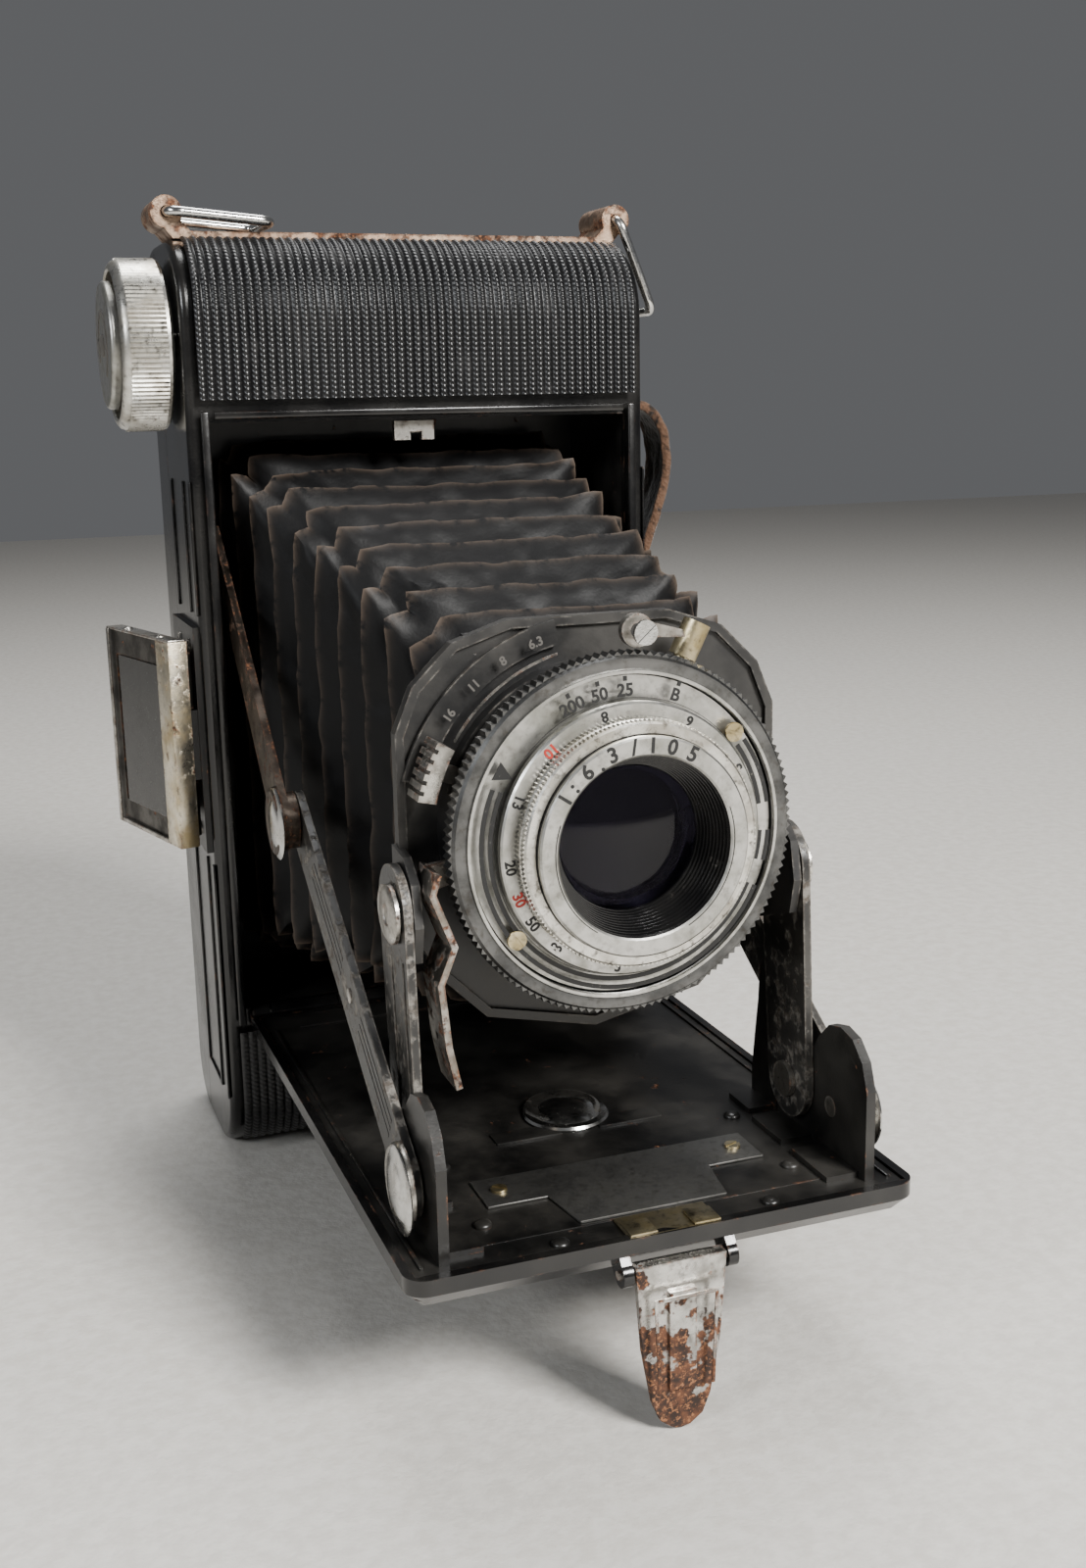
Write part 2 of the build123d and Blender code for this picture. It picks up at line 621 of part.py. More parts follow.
STANDARD_OUTLINE = [(0, 46.0), (16.0, 49.6), (22.4, 56.0), (27.5, 66.0), (27.5, 90.0), (25.0, 96.0),
                    (19.5, 101.4), (11.6, 104.0), (0, 104.0)]


def standard_plate_outline(inset):
    """The standard's outline, both halves, drawn in towards the lens axis."""
    right = []
    for x, z in STANDARD_OUTLINE:
        away = math.hypot(x, z - LENS_Z)
        scale = (away - inset) / away
        right.append((x * scale, LENS_Z + (z - LENS_Z) * scale))
    left = [(-x, z) for x, z in right[-2:0:-1]]
    return right + left


def lens_standard():
    """Pressed plate with a raised rim and the two side tabs that the links hold."""
    plate = profile_y(standard_plate_outline(0), (STANDARD_FRONT, STANDARD_BACK))
    rim = profile_y(standard_plate_outline(0), (STANDARD_FRONT - 0.7, STANDARD_FRONT))
    plate += rim - profile_y(standard_plate_outline(1.3), (STANDARD_FRONT - 2, STANDARD_FRONT + 1))
    for side in (-1, 1):
        x = side_range(side, TAB_PLANE)
        tab = profile_x([(-80.6, 61.0), (-81.8, 66.0), (-80.6, 71.5), (-77.0, 74.4), (STANDARD_BACK, 75.0),
                         (STANDARD_BACK, 58.0)], x)
        plate += tab - rod_x((x[0] - 1, x[1] + 1), *LINK_TOP, PIVOT_PIN)
    return plate - rod_y((-80, -70), 0, LENS_Z, 13.6)


def rear_lens_cell():
    """Barrel of the rear lens, screwed through the standard into the shutter, with its glass."""
    barrel = rod_y((-73.0, -64.8), 0, LENS_Z, 13.0) + rod_y((STANDARD_BACK, -70.2), 0, LENS_Z, 16.0)
    barrel -= rod_y((-80, -66.5), 0, LENS_Z, 10.4)
    barrel -= rod_y((-68, -60), 0, LENS_Z, 9.4)
    return group(barrel, rod_y((-70.0, -66.6), 0, LENS_Z, 10.3))


def shutter_case():
    """Can of the shutter with its deck, bored for the front cell and slotted for the levers."""
    case = rod_y((CASE_FRONT, STANDARD_FRONT), 0, LENS_Z, CASE_RADIUS)
    case += rod_y((DECK_FRONT, CASE_FRONT), 0, LENS_Z, DECK_RADIUS)
    case -= ring((12.9, 20.8), (-79.6, -74.0))
    case -= rod_y((-79.4, STANDARD_FRONT + 1), 0, LENS_Z, 13.0)
    case -= rod_y((-90, -70), 0, LENS_Z, CELL_BORE)
    case -= sector((18.0, 26.0), (100.0, 165.0), (-76.9, -75.3))
    return case - sector((18.0, 26.0), (183.0, 204.0), (-79.4, -77.4))


def aperture_scale():
    return sector((24.6, 28.0), (101.0, 164.0), (-74.3, -73.72))


def aperture_lever():
    """Iris cam ring with its arm and serrated finger piece."""
    lever = ring((13.4, 18.6), (-76.6, -75.6))
    lever += sector((18.0, 25.2), (155.0, 161.0), (-76.6, -75.6), steps=2)
    for turn in (150.0, 153.0, 156.0, 159.0, 162.0, 165.0):
        lever += sector((24.9, 27.4), (turn, turn + 1.8), (-80.6, -75.6), steps=1)
    return lever + sector((24.9, 26.8), (150.0, 166.8), (-80.6, -75.6), steps=6)


def iris_blades():
    """Five blades that leave a five-sided hole."""
    blades = []
    for i in range(5):
        low = 72.0 * i + 0.4
        high = 72.0 * (i + 1) - 0.4
        points = [polar(5.0, low), polar(12.6, low), polar(12.6, (low + high) / 2), polar(12.6, high), polar(5.0, high)]
        blades.append(profile_y(points, (-75.3, -75.0)))
    return group(*blades)


def shutter_blade(side):
    """One of the two blades that close the light path, on the pivot below the lens."""
    y = (-77.2, -76.9) if side > 0 else (-77.7, -77.4)
    outline = [(-1.2, -1.6), (-1.2, 27.0), (6.0, 25.4), (9.0, 21.0), (8.4, 12.0), (3.0, -1.8)]
    pivot_z = LENS_Z + BLADE_PIVOT
    blade = profile_y([(side * x, pivot_z + z) for x, z in outline], y)
    return blade + rod_y(y, 0, pivot_z, 1.8) - rod_y((-79, -75), 0, pivot_z, 0.66)


def speed_ring():
    return ring(SPEED_RING, SPEED_RING_Y)


def scale_plate():
    return ring((15.2, 21.2), SCALE_PLATE_Y)


def focus_ring():
    """Knurled grip and the distance scale that turns with it."""
    return group(ring(FOCUS_RING, FOCUS_RING_Y), ring(DISTANCE_RING, DISTANCE_RING_Y))


def lens_cone():
    """Front lens cell: a stepped barrel, bored as a cone in front of the glass."""
    cell = rod_y((CELL_FRONT, -84.9), 0, LENS_Z, CELL_RADIUS) + rod_y((-84.9, -79.6), 0, LENS_Z, CELL_NECK)
    depth = -84.6 - CELL_FRONT
    mouth = Pos(0, (CELL_FRONT - 84.6) / 2, LENS_Z) * Rot(90, 0, 0) * Cone(GLASS_RADIUS, CONE_MOUTH, depth)
    cell -= mouth
    cell -= rod_y((-84.7, -82.0), 0, LENS_Z, GLASS_RADIUS)
    return cell - rod_y((-83, -79), 0, LENS_Z, 8.6)


def name_ring():
    return ring((CONE_MOUTH, CELL_RADIUS), (NAME_RING_FRONT, CELL_FRONT))


def front_lens():
    """Front glass, crowned towards the front."""
    glass = rod_y((-84.6, -82.05), 0, LENS_Z, GLASS_RADIUS - 0.06)
    crown_radius = 30.0
    crown = Pos(0, -86.0 + crown_radius, LENS_Z) * Sphere(crown_radius)
    return glass + (crown & rod_y((-87, -84.6), 0, LENS_Z, 8.6))


def trigger():
    """Bent finger strip of the shutter release, with the arm that enters the shutter."""
    path = [(-25.3, 73.5), (-26.1, 70.8), (-23.4, 63.6), (-25.4, 58.7), (-24.6, 50.0), (-23.4, 44.2)]
    strip = profile_y(strip_outline(path, 0.9), (-84.0, -77.0))
    arm = sector((13.2, 25.7), (186.0, 194.0), (-79.0, -78.0), steps=3)
    return strip + arm + ring((13.2, 15.0), (-79.0, -78.0))


def shutter_screws():
    """Screws of the scale plate, shouldered screw of the release lever, pin of the blades."""
    screws = [rod_y((-79.6, -76.7), 0, LENS_Z + BLADE_PIVOT, 0.6)]
    for angle in (39.0, 217.0):
        screws.append(rod_y((SCALE_PLATE_Y[0] - 0.5, SCALE_PLATE_Y[0]), *polar(19.8, angle), 1.3))
    post = rod_y((-84.1, STANDARD_FRONT), *RELEASE_PIVOT, 0.9) + rod_y((-82.6, STANDARD_FRONT), *RELEASE_PIVOT, 1.1)
    slot_z = (RELEASE_PIVOT[1] - 0.25, RELEASE_PIVOT[1] + 0.25)
    head = rod_y((-85.0, -84.1), *RELEASE_PIVOT, 1.7) - block((0, 5), (-86, -84.6), slot_z)
    return group(*screws, post + head)


def release_lever():
    """Small lever beside the cable socket."""
    lever = rod_y((-84.0, -82.8), *RELEASE_PIVOT, 2.2)
    arm = profile_y([(2.4, 104.4), (8.8, 102.6), (9.2, 101.6), (2.4, 102.0)], (-83.9, -82.9))
    return lever + arm - rod_y((-86, -81), *RELEASE_PIVOT, 0.96)


def cable_socket():
    """Brass socket for a cable release, pointing away from the lens."""
    angle = 63.4
    inner = polar(CASE_RADIUS + 0.03, angle)
    direction = (math.cos(math.radians(angle)), 0, math.sin(math.radians(angle)))
    base = Plane(origin=(inner[0], -78.9, inner[1]), z_dir=direction)
    stem = extrude(base * Circle(1.15), amount=3.2)
    barrel = extrude(base.offset(2.6) * Circle(1.9), amount=5.0)
    return stem + barrel - extrude(base.offset(4.4) * Circle(1.3), amount=4.0)


def bellows():
    """Tapered leather bellows from the film gate to the standard, as a plain hollow solid."""
    def tube(back_half, back_z, front_half, front_z):
        back = Plane.XZ.offset(-25.9) * Pos(0, sum(back_z) / 2) * Rectangle(2 * back_half, back_z[1] - back_z[0])
        front = Plane.XZ.offset(71.7) * Pos(0, sum(front_z) / 2) * Rectangle(2 * front_half, front_z[1] - front_z[0])
        return loft([back.face(), front.face()])
    outer = tube(32.4, (33.0, 126.4), 20.6, (51.4, 102.0))
    inner = tube(31.0, (34.4, 125.0), 19.2, (52.8, 100.6))
    inner += block((-19, 19), (-73, -71.5), (53, 100))
    inner += block((-30.8, 30.8), (25.5, 27), (34.6, 124.8))
    return outer - inner


# ---------------------------------------------------------------- finder

def finder_place(hinge, way):
    """A frame at a finder hinge: local X runs along the leaf, local Y away from the body."""
    turn = math.radians(FINDER_OPEN)
    along = (-math.sin(turn), way * math.cos(turn), 0)
    return Plane(origin=(hinge[0], hinge[1], 0), x_dir=along, z_dir=(0, 0, way))


def leaf_block(place, u, w, z):
    """A box in a leaf's own directions: along it, out of it, and up the camera."""
    points = [(u[0], w[0]), (u[1], w[0]), (u[1], w[1]), (u[0], w[1])]
    world = [place.from_local_coords(Vector(p[0], p[1], 0)) for p in points]
    return profile_z([(p.X, p.Y) for p in world], z)


def finder_base():
    """Plate on the side of the body with a hinge ear for each leaf."""
    base = block((-41.3, -BODY_HALF), (1.5, 23.6), (57.0, 96.0))
    for hinge in (FINDER_FRONT_HINGE, FINDER_REAR_HINGE):
        ear = rod_z((70.0, 82.0), *hinge, FINDER_BARREL)
        ear += block((hinge[0], -41.2), (hinge[1] - 1.0, hinge[1] + 1.0), (70.0, 82.0))
        base += ear - rod_z((69, 83), *hinge, FINDER_PIN + 0.05)
    return base


def finder_front():
    """Front leaf: a shallow tray with a window, sprung a little open."""
    place = finder_place(FINDER_FRONT_HINGE, 1)
    low, high = FINDER_Z
    leaf = leaf_block(place, (-0.5, FINDER_LENGTH), (2.2, 3.0), FINDER_Z)
    leaf -= leaf_block(place, (5.0, 22.4), (1.0, 4.0), (63.0, 89.5))
    leaf += leaf_block(place, (-0.5, 0.3), (0.9, 3.0), FINDER_Z)
    for z in ((low, low + 0.8), (high - 0.8, high)):
        leaf += leaf_block(place, (-0.5, FINDER_LENGTH), (0.2, 2.4), z)
    leaf -= rod_z((69.6, 82.4), *FINDER_FRONT_HINGE, 1.5)
    for z in ((60.2, 69.7), (82.3, 91.8)):
        barrel = rod_z(z, *FINDER_FRONT_HINGE, FINDER_BARREL)
        leaf += barrel - rod_z((z[0] - 1, z[1] + 1), *FINDER_FRONT_HINGE, FINDER_PIN + 0.07)
    glass = leaf_block(place, (5.06, 22.34), (2.3, 2.8), (63.06, 89.44))
    return group(leaf, glass)


def finder_rear():
    """Rear leaf: a flat frame with a small window, under the front leaf."""
    place = finder_place(FINDER_REAR_HINGE, -1)
    leaf = leaf_block(place, (0.6, FINDER_REAR_LENGTH), (-0.4, 0.4), (61.0, 91.0))
    leaf -= leaf_block(place, (3.6, 10.2), (-1, 1), (67.0, 85.0))
    leaf -= rod_z((69.6, 82.4), *FINDER_REAR_HINGE, 1.4)
    for z in ((61.0, 69.7), (82.3, 91.0)):
        barrel = rod_z(z, *FINDER_REAR_HINGE, FINDER_BARREL)
        leaf += barrel - rod_z((z[0] - 1, z[1] + 1), *FINDER_REAR_HINGE, FINDER_PIN + 0.07)
    glass = leaf_block(place, (3.66, 10.14), (-0.25, 0.25), (67.06, 84.94))
    return group(leaf, glass)


# ---------------------------------------------------------------- assembly

RIGHT_LOOP_LEAN = 22.0
LEFT_LOOP_DROP = 5.0


def hanging(lean):
    turn = math.radians(lean)
    return math.sin(turn), -math.cos(turn)


def lying(drop):
    turn = math.radians(drop)
    return math.cos(turn), -math.sin(turn)


def build_all():
    """Every node by name."""
    nodes = {
        "body_shell": body_shell(),
        "inner_frame": inner_frame(),
        "body_pins": body_pins(),
        "body_leather": body_leather(),
        "strap_strip": strap_strip(),
        "strap_loop_left": strap_loop(-1, lying(LEFT_LOOP_DROP)),
        "strap_loop_right": strap_loop(1, hanging(RIGHT_LOOP_LEAN)),
        "strap_anchor": strap_anchor(),
        "hand_strap": hand_strap(),
        "bed_catch": bed_catch(),
        "back_cover": back_cover(),
        "leather_back": leather_back(),
        "red_window": red_window(),
        "window_shutter": window_shutter(),
        "window_rails": window_rails(),
        "pressure_plate": pressure_plate(),
        "back_latch": back_latch(),
        "takeup_spool": spool(TOP_SPOOL_Z),
        "supply_spool": spool(BOTTOM_SPOOL_Z),
        "guide_roller_top": guide_roller(ROLLER_HIGH_Z),
        "guide_roller_bottom": guide_roller(ROLLER_LOW_Z),
        "wind_knob": wind_knob(),
        "wind_knob_cap": wind_knob_cap(),
        "bed_panel": bed_panel(),
        "bed_inner_plate": bed_inner_plate(),
        "bed_leather": bed_leather(),
        "tripod_bush": tripod_bush(),
        "bed_trim": bed_trim(),
        "bed_brackets": bed_brackets(),
        "bed_pins": bed_pins(),
        "foot": foot(),
        "lens_standard": lens_standard(),
        "standard_pins": standard_pins(),
        "rear_lens_cell": rear_lens_cell(),
        "shutter_case": shutter_case(),
        "aperture_scale": aperture_scale(),
        "aperture_lever": aperture_lever(),
        "iris_blades": iris_blades(),
        "shutter_screws": shutter_screws(),
        "speed_ring": speed_ring(),
        "scale_plate": scale_plate(),
        "focus_ring": focus_ring(),
        "lens_cone": lens_cone(),
        "name_ring": name_ring(),
        "front_lens": front_lens(),
        "trigger": trigger(),
        "release_lever": release_lever(),
        "cable_socket": cable_socket(),
        "bellows": bellows(),
        "finder_base": finder_base(),
        "finder_front": finder_front(),
        "finder_rear": finder_rear(),
    }
    for side, name in ((-1, "left"), (1, "right")):
        nodes["upper_strut_" + name] = upper_strut(side)
        nodes["lower_strut_" + name] = lower_strut(side)
        nodes["standard_link_" + name] = standard_link(side)
    for side, name in ((-1, "left"), (1, "right")):
        nodes["shutter_blade_" + name] = shutter_blade(side)
    return nodes


def main():
    nodes = build_all()
    boxes = [shape.bounding_box() for shape in nodes.values()]
    low = [min(tuple(box.min)[i] for box in boxes) for i in range(3)]
    high = [max(tuple(box.max)[i] for box in boxes) for i in range(3)]
    origin = ((low[0] + high[0]) / 2, (low[1] + high[1]) / 2, low[2])
    print(len(nodes), "nodes, origin moved to", [round(v, 4) for v in origin])
    os.makedirs("parts", exist_ok=True)
    for name, shape in nodes.items():
        solids = [Pos(-origin[0], -origin[1], -origin[2]) * solid for solid in shape.solids()]
        export_step(Compound(solids), "parts/" + name + ".step")


main()
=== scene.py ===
import math
import random

import bmesh
import bpy
from mathutils import Matrix, Vector, noise


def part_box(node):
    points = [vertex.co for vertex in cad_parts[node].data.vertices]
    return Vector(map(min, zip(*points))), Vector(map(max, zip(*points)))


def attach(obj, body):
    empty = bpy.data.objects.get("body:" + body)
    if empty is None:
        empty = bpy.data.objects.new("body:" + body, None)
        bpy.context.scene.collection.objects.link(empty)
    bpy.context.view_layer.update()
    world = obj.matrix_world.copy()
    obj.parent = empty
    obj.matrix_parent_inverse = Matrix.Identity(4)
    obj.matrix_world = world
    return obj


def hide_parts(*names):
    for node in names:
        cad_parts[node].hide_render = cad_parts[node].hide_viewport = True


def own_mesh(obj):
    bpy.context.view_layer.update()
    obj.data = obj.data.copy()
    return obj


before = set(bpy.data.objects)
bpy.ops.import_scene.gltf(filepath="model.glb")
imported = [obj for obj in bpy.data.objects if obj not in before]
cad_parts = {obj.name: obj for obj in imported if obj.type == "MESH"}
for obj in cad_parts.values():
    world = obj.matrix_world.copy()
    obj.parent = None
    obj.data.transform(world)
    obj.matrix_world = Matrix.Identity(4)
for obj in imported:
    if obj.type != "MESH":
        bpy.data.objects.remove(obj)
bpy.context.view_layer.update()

bl_info = {
    "name": "Folding Camera Dresser",
    "version": (1, 0, 0),
    "blender": (4, 5, 0),
    "location": "View3D > Sidebar > Folding Camera",
    "description": "Gives the packed folding camera its leather, plating, markings, bellows and stage",
    "category": "Object",
}

MM = 0.001

# Millimetres are counted from the middle of the body's front face, on the floor: X right,
# Y back, Z up. The bed is symmetric, and its front edge is 101 mm ahead of that face.
BED_LOW, BED_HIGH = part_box("bed_panel")
ORIGIN = Vector(((BED_LOW.x + BED_HIGH.x) / 2, BED_LOW.y + 0.101, 0))
CAMERA = Matrix.Translation(ORIGIN) @ Matrix.Scale(MM, 4)


def mm_box(node):
    """The low and high corners of a CAD node, in the camera's own millimetres."""
    return [(corner - ORIGIN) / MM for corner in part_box(node)]


def frame_at(origin, x_axis, y_axis, z_axis):
    """A local frame from its origin and its three axes."""
    return Matrix.Translation(origin) @ Matrix((x_axis, y_axis, z_axis)).transposed().to_4x4()


def axis_place(x, y, z, along):
    """A local frame whose Z runs out of the camera at its "front", "left", "right" or "back"."""
    turns = {
        "front": ((1, 0, 0), (0, 0, 1), (0, -1, 0)),
        "left": ((0, -1, 0), (0, 0, 1), (-1, 0, 0)),
        "right": ((0, 1, 0), (0, 0, 1), (1, 0, 0)),
        "back": ((-1, 0, 0), (0, 0, 1), (0, 1, 0)),
    }
    return frame_at((x, y, z), *turns[along])


def spoke(radius, angle):
    """The point at a radius and an angle in degrees."""
    return radius * math.cos(math.radians(angle)), radius * math.sin(math.radians(angle))


CASE_LOW, CASE_HIGH = mm_box("shutter_case")
LENS_Z = (CASE_LOW.z + CASE_HIGH.z) / 2
LENS = axis_place(0, 0, LENS_Z, "front")
KNOB_LOW, KNOB_HIGH = mm_box("wind_knob")
KNOB = axis_place(0, (KNOB_LOW.y + KNOB_HIGH.y) / 2, (KNOB_LOW.z + KNOB_HIGH.z) / 2, "left")
PLATE_TOP = mm_box("bed_inner_plate")[1].z
BODY_HALF = 40.3            # to the body's flat sides, which the finder and knob stand out from
SCALE_FACE = 84.65          # front of the scale plate, along the lens axis
NAME_FACE = 90.5            # front of the name ring
KNOB_FACE = 50.78           # outer face of the knob's disc
LEAF_LOW, LEAF_HIGH = 58.6, 93.9
LEAF_TURN = math.radians(15.0)      # how far past square the open finder leaves stand


# ---------------------------------------------------------------- materials

def linear(hex_colour):
    """Linear colour with alpha from an sRGB hex colour."""
    channels = [int(hex_colour[i:i + 2], 16) / 255 for i in (1, 3, 5)]
    return (*[c / 12.92 if c <= 0.04045 else ((c + 0.055) / 1.055) ** 2.4 for c in channels], 1.0)


def add(tree, kind, inputs=None, **settings):
    """Adds a node with its settings; inputs are values or sockets, by name or number."""
    node = tree.nodes.new(kind)
    for name, value in settings.items():
        setattr(node, name, value)
    for key, value in (inputs or {}).items():
        if isinstance(value, bpy.types.NodeSocket):
            tree.links.new(value, node.inputs[key])
        else:
            node.inputs[key].default_value = value
    return node


def new_material(name):
    """An empty material's tree, its material and the Object coordinates."""
    material = bpy.data.materials.new(name)
    material.use_nodes = True
    tree = material.node_tree
    tree.nodes.clear()
    return material, tree, add(tree, "ShaderNodeTexCoord").outputs["Object"]


def shade(tree, inputs):
    """Ends a tree in a Principled shader."""
    shader = add(tree, "ShaderNodeBsdfPrincipled", inputs)
    add(tree, "ShaderNodeOutputMaterial", {"Surface": shader.outputs["BSDF"]})


def blotches(where, size_mm, low, high, detail=6.0, seed=0.0):
    """A mask of blotches about size_mm across; low and high say how much they cover."""
    cloud = add(where.id_data, "ShaderNodeTexNoise", {"Vector": where, "W": seed, "Scale": 1 / (size_mm * MM),
                "Detail": detail, "Roughness": 0.6}, noise_dimensions="4D")
    return ramp(cloud.outputs["Fac"], low, high)


def calc(operation, a, b=0.0, clamp=False):
    """One Math node; a or b is a socket, which says what tree it is in."""
    tree = (a if isinstance(a, bpy.types.NodeSocket) else b).id_data
    return add(tree, "ShaderNodeMath", {0: a, 1: b}, operation=operation, use_clamp=clamp).outputs[0]


def times(a, b):
    return calc("MULTIPLY", a, b)


def plus(a, b, clamp=False):
    return calc("ADD", a, b, clamp)


def ramp(value, low, high, shape="SMOOTHSTEP"):
    """0 where a socket's value is low, up to 1 where it is high."""
    return add(value.id_data, "ShaderNodeMapRange", {"Value": value, "From Min": low, "From Max": high},
               interpolation_type=shape).outputs["Result"]


def tint(factor, a, b):
    """One colour laid over another by a mask; each is a hex colour, a value or a socket."""
    a, b = [linear(colour) if isinstance(colour, str) else colour for colour in (a, b)]
    return add(factor.id_data, "ShaderNodeMix", {0: factor, 6: a, 7: b}, data_type="RGBA").outputs[2]


def edges(tree, reach_mm):
    """A mask that is 1 along convex and concave edges, for worn plating and paint."""
    soft = add(tree, "ShaderNodeBevel", {"Radius": reach_mm * MM}, samples=4)
    flat = add(tree, "ShaderNodeNewGeometry")
    same = add(tree, "ShaderNodeVectorMath", {0: soft.outputs["Normal"], 1: flat.outputs["Normal"]},
               operation="DOT_PRODUCT").outputs["Value"]
    return ramp(same, 0.985, 0.86)


def relief(height, depth_mm, strength=1.0):
    """A bump whose full height is depth_mm."""
    return add(height.id_data, "ShaderNodeBump", {"Strength": strength, "Distance": depth_mm * MM,
               "Height": height}).outputs["Normal"]


def rust_colour(where):
    """Iron rust: dark brown scale with orange bloom, 1 to 3 mm across."""
    bloom = blotches(where, 1.6, 0.40, 0.66, seed=7.0)
    speck = blotches(where, 0.5, 0.52, 0.62, seed=9.0)
    brown = tint(bloom, "#26170f", "#5f3a24")
    return tint(speck, brown, "#8a5c3c")


def coated(name, coat, rough, chips=(0.66, 0.72), edge=0.35, chip="rust", dust=0.12, gloss=0.0,
           wear_mm=0.5):
    """Paint or enamel over sheet steel. Chips and rubbed edges show the rust or bare metal under
    it; a film of dust and a faint orange peel break up the reflections."""
    material, tree, where = new_material(name)
    spots = blotches(where, 2.4, *chips, seed=1.0)
    rubbed = blotches(where, 3.0, 0.62 - edge, 0.78 - edge, seed=2.0)
    bare = calc("MAXIMUM", spots, times(edges(tree, wear_mm), rubbed), clamp=True)
    steel = chip == "steel"
    under = tint(blotches(where, 1.2, 0.4, 0.6), "#8d8982", "#5c554e") if steel else rust_colour(where)
    haze = blotches(where, 14.0, 0.35, 0.75, seed=4.0)
    film = tint(times(haze, dust), coat, "#8a857c")
    roughness = plus(times(haze, 0.14), rough)
    peel = blotches(where, 0.7, 0.2, 0.8, detail=3.0, seed=5.0)
    height = calc("SUBTRACT", times(peel, 0.12), bare)
    shade(tree, {
        "Base Color": tint(bare, film, under),
        "Metallic": times(bare, 0.8 if steel else 0.0),
        "Roughness": plus(roughness, times(bare, 0.35), clamp=True),
        "Normal": relief(height, 0.08),
        "Coat Weight": gloss, "Coat Roughness": 0.08,
    })
    return material


def plated(name, metal, dull, rough, rust=(0.62, 0.70), grime=0.5, edge_rust=0.0, where_rust=None):
    """Plated or bare metal with rubbed, dull and rusted patches and fine scratches. where_rust
    is (direction, start, end): a slope in millimetres along which rust grows."""
    material, tree, where = new_material(name)
    dullness = blotches(where, 5.0, 0.38, 0.68, seed=1.0)
    dirt = blotches(where, 1.1, 0.50, 0.70, seed=2.0)
    fine = add(tree, "ShaderNodeMapping", {"Vector": where, "Scale": (40.0, 40.0, 40.0)}).outputs["Vector"]
    brush = add(tree, "ShaderNodeTexNoise", {"Vector": fine, "Scale": 90.0, "Detail": 4.0}).outputs["Fac"]
    amount = blotches(where, 2.2, *rust, seed=3.0)
    if edge_rust:
        rim = blotches(where, 2.0, 0.60 - edge_rust, 0.76 - edge_rust)
        amount = calc("MAXIMUM", amount, times(edges(tree, 0.7), rim), clamp=True)
    if where_rust:
        direction, start, end = where_rust
        along = add(tree, "ShaderNodeVectorMath", {0: where, 1: direction}, operation="DOT_PRODUCT")
        slope = ramp(along.outputs["Value"], start, end, "LINEAR")
        ragged = add(tree, "ShaderNodeTexNoise", {"Vector": where, "Scale": 330.0, "Detail": 8.0}).outputs[0]
        grown = plus(slope, times(calc("SUBTRACT", ragged, 0.5), 2.2))
        amount = calc("MAXIMUM", amount, ramp(grown, 0.46, 0.56), clamp=True)
    clean = tint(dullness, metal, dull)
    clean = tint(times(dirt, grime), clean, "#3a342c")
    height = plus(times(brush, 0.25), times(amount, 0.7))
    roughness = plus(times(dullness, 0.16), times(brush, 0.12))
    roughness = plus(plus(roughness, rough), times(amount, 0.5), clamp=True)
    shade(tree, {
        "Base Color": tint(amount, clean, rust_colour(where)),
        "Metallic": calc("SUBTRACT", 1.0, amount, clamp=True),
        "Roughness": roughness,
        "Normal": relief(height, 0.05),
    })
    return material


def leathery(name, hide, worn, grain_mm=0.9, rough=0.62, wear=(0.60, 0.72), creases=0.15, sheen=0.25,
             thin=1.0, grain=0.35):
    """Leather: pebbled grain, dry rubbed places and an uneven gloss. A high thin keeps the wear
    marked on the mesh to a fine line; on the bellows' ridges that line is worn leather and a painted highlight."""
    material, tree, where = new_material(name)
    cells = add(tree, "ShaderNodeTexVoronoi", {"Vector": where, "Scale": 1 / (grain_mm * MM)},
                feature="F1").outputs["Distance"]
    folds = add(tree, "ShaderNodeTexNoise", {"Vector": where, "Scale": 1 / (6.0 * MM), "Detail": 9.0,
                "Roughness": 0.62}).outputs["Fac"]
    rubbed = blotches(where, 3.5, *wear, seed=3.0)
    # The mesh's wear mark: real wear on the strap; on the bellows it is worn leather and also a painted
    # highlight along the fold ridges
    mark = add(tree, "ShaderNodeAttribute", attribute_name="wear").outputs["Fac"]
    line = calc("POWER", mark, thin)
    marked_wear_and_ridge_highlight = times(line, blotches(where, 2.0, 0.34, 0.52, seed=5.0))
    bare = calc("MAXIMUM", times(rubbed, 0.35), marked_wear_and_ridge_highlight, clamp=True)
    height = plus(times(cells, grain), folds)
    shade(tree, {
        "Base Color": tint(bare, hide, worn),
        "Roughness": plus(times(folds, 0.2), rough - 0.1, clamp=True),
        "Normal": relief(height, creases), "Specular IOR Level": 0.2,
        "Sheen Weight": sheen, "Sheen Roughness": 0.5,
    })
    return material


def leatherette_material(pitch_mm):
    """Paper-backed leatherette pressed like rows of twisted cord: each rib carries slanted strands,
    0.85 mm apart, and its crown is rubbed lighter."""
    material, tree, where = new_material("pressed_leatherette")
    split = add(tree, "ShaderNodeSeparateXYZ", {"Vector": where})
    across = calc("DIVIDE", split.outputs["X"], pitch_mm * MM)
    along = add(tree, "ShaderNodeAttribute", attribute_name="along").outputs["Fac"]
    strand = plus(calc("DIVIDE", along, 0.85 * MM), calc("FRACT", across))
    twist = calc("SINE", times(strand, 2 * math.pi))
    crown = calc("ABSOLUTE", calc("SINE", times(across, math.pi)))
    height = times(plus(times(twist, 0.3), 0.7), crown)
    rubbed = blotches(where, 7.0, 0.52, 0.74, seed=2.0)
    dusty = times(blotches(where, 2.5, 0.45, 0.75), 0.25)
    base = tint(times(times(height, rubbed), 0.5), "#09090a", "#454343")
    shade(tree, {
        "Base Color": tint(times(dusty, crown), base, "#242323"),
        "Roughness": plus(times(rubbed, 0.15), 0.34),
        "Normal": relief(height, 0.16),
    })
    return material


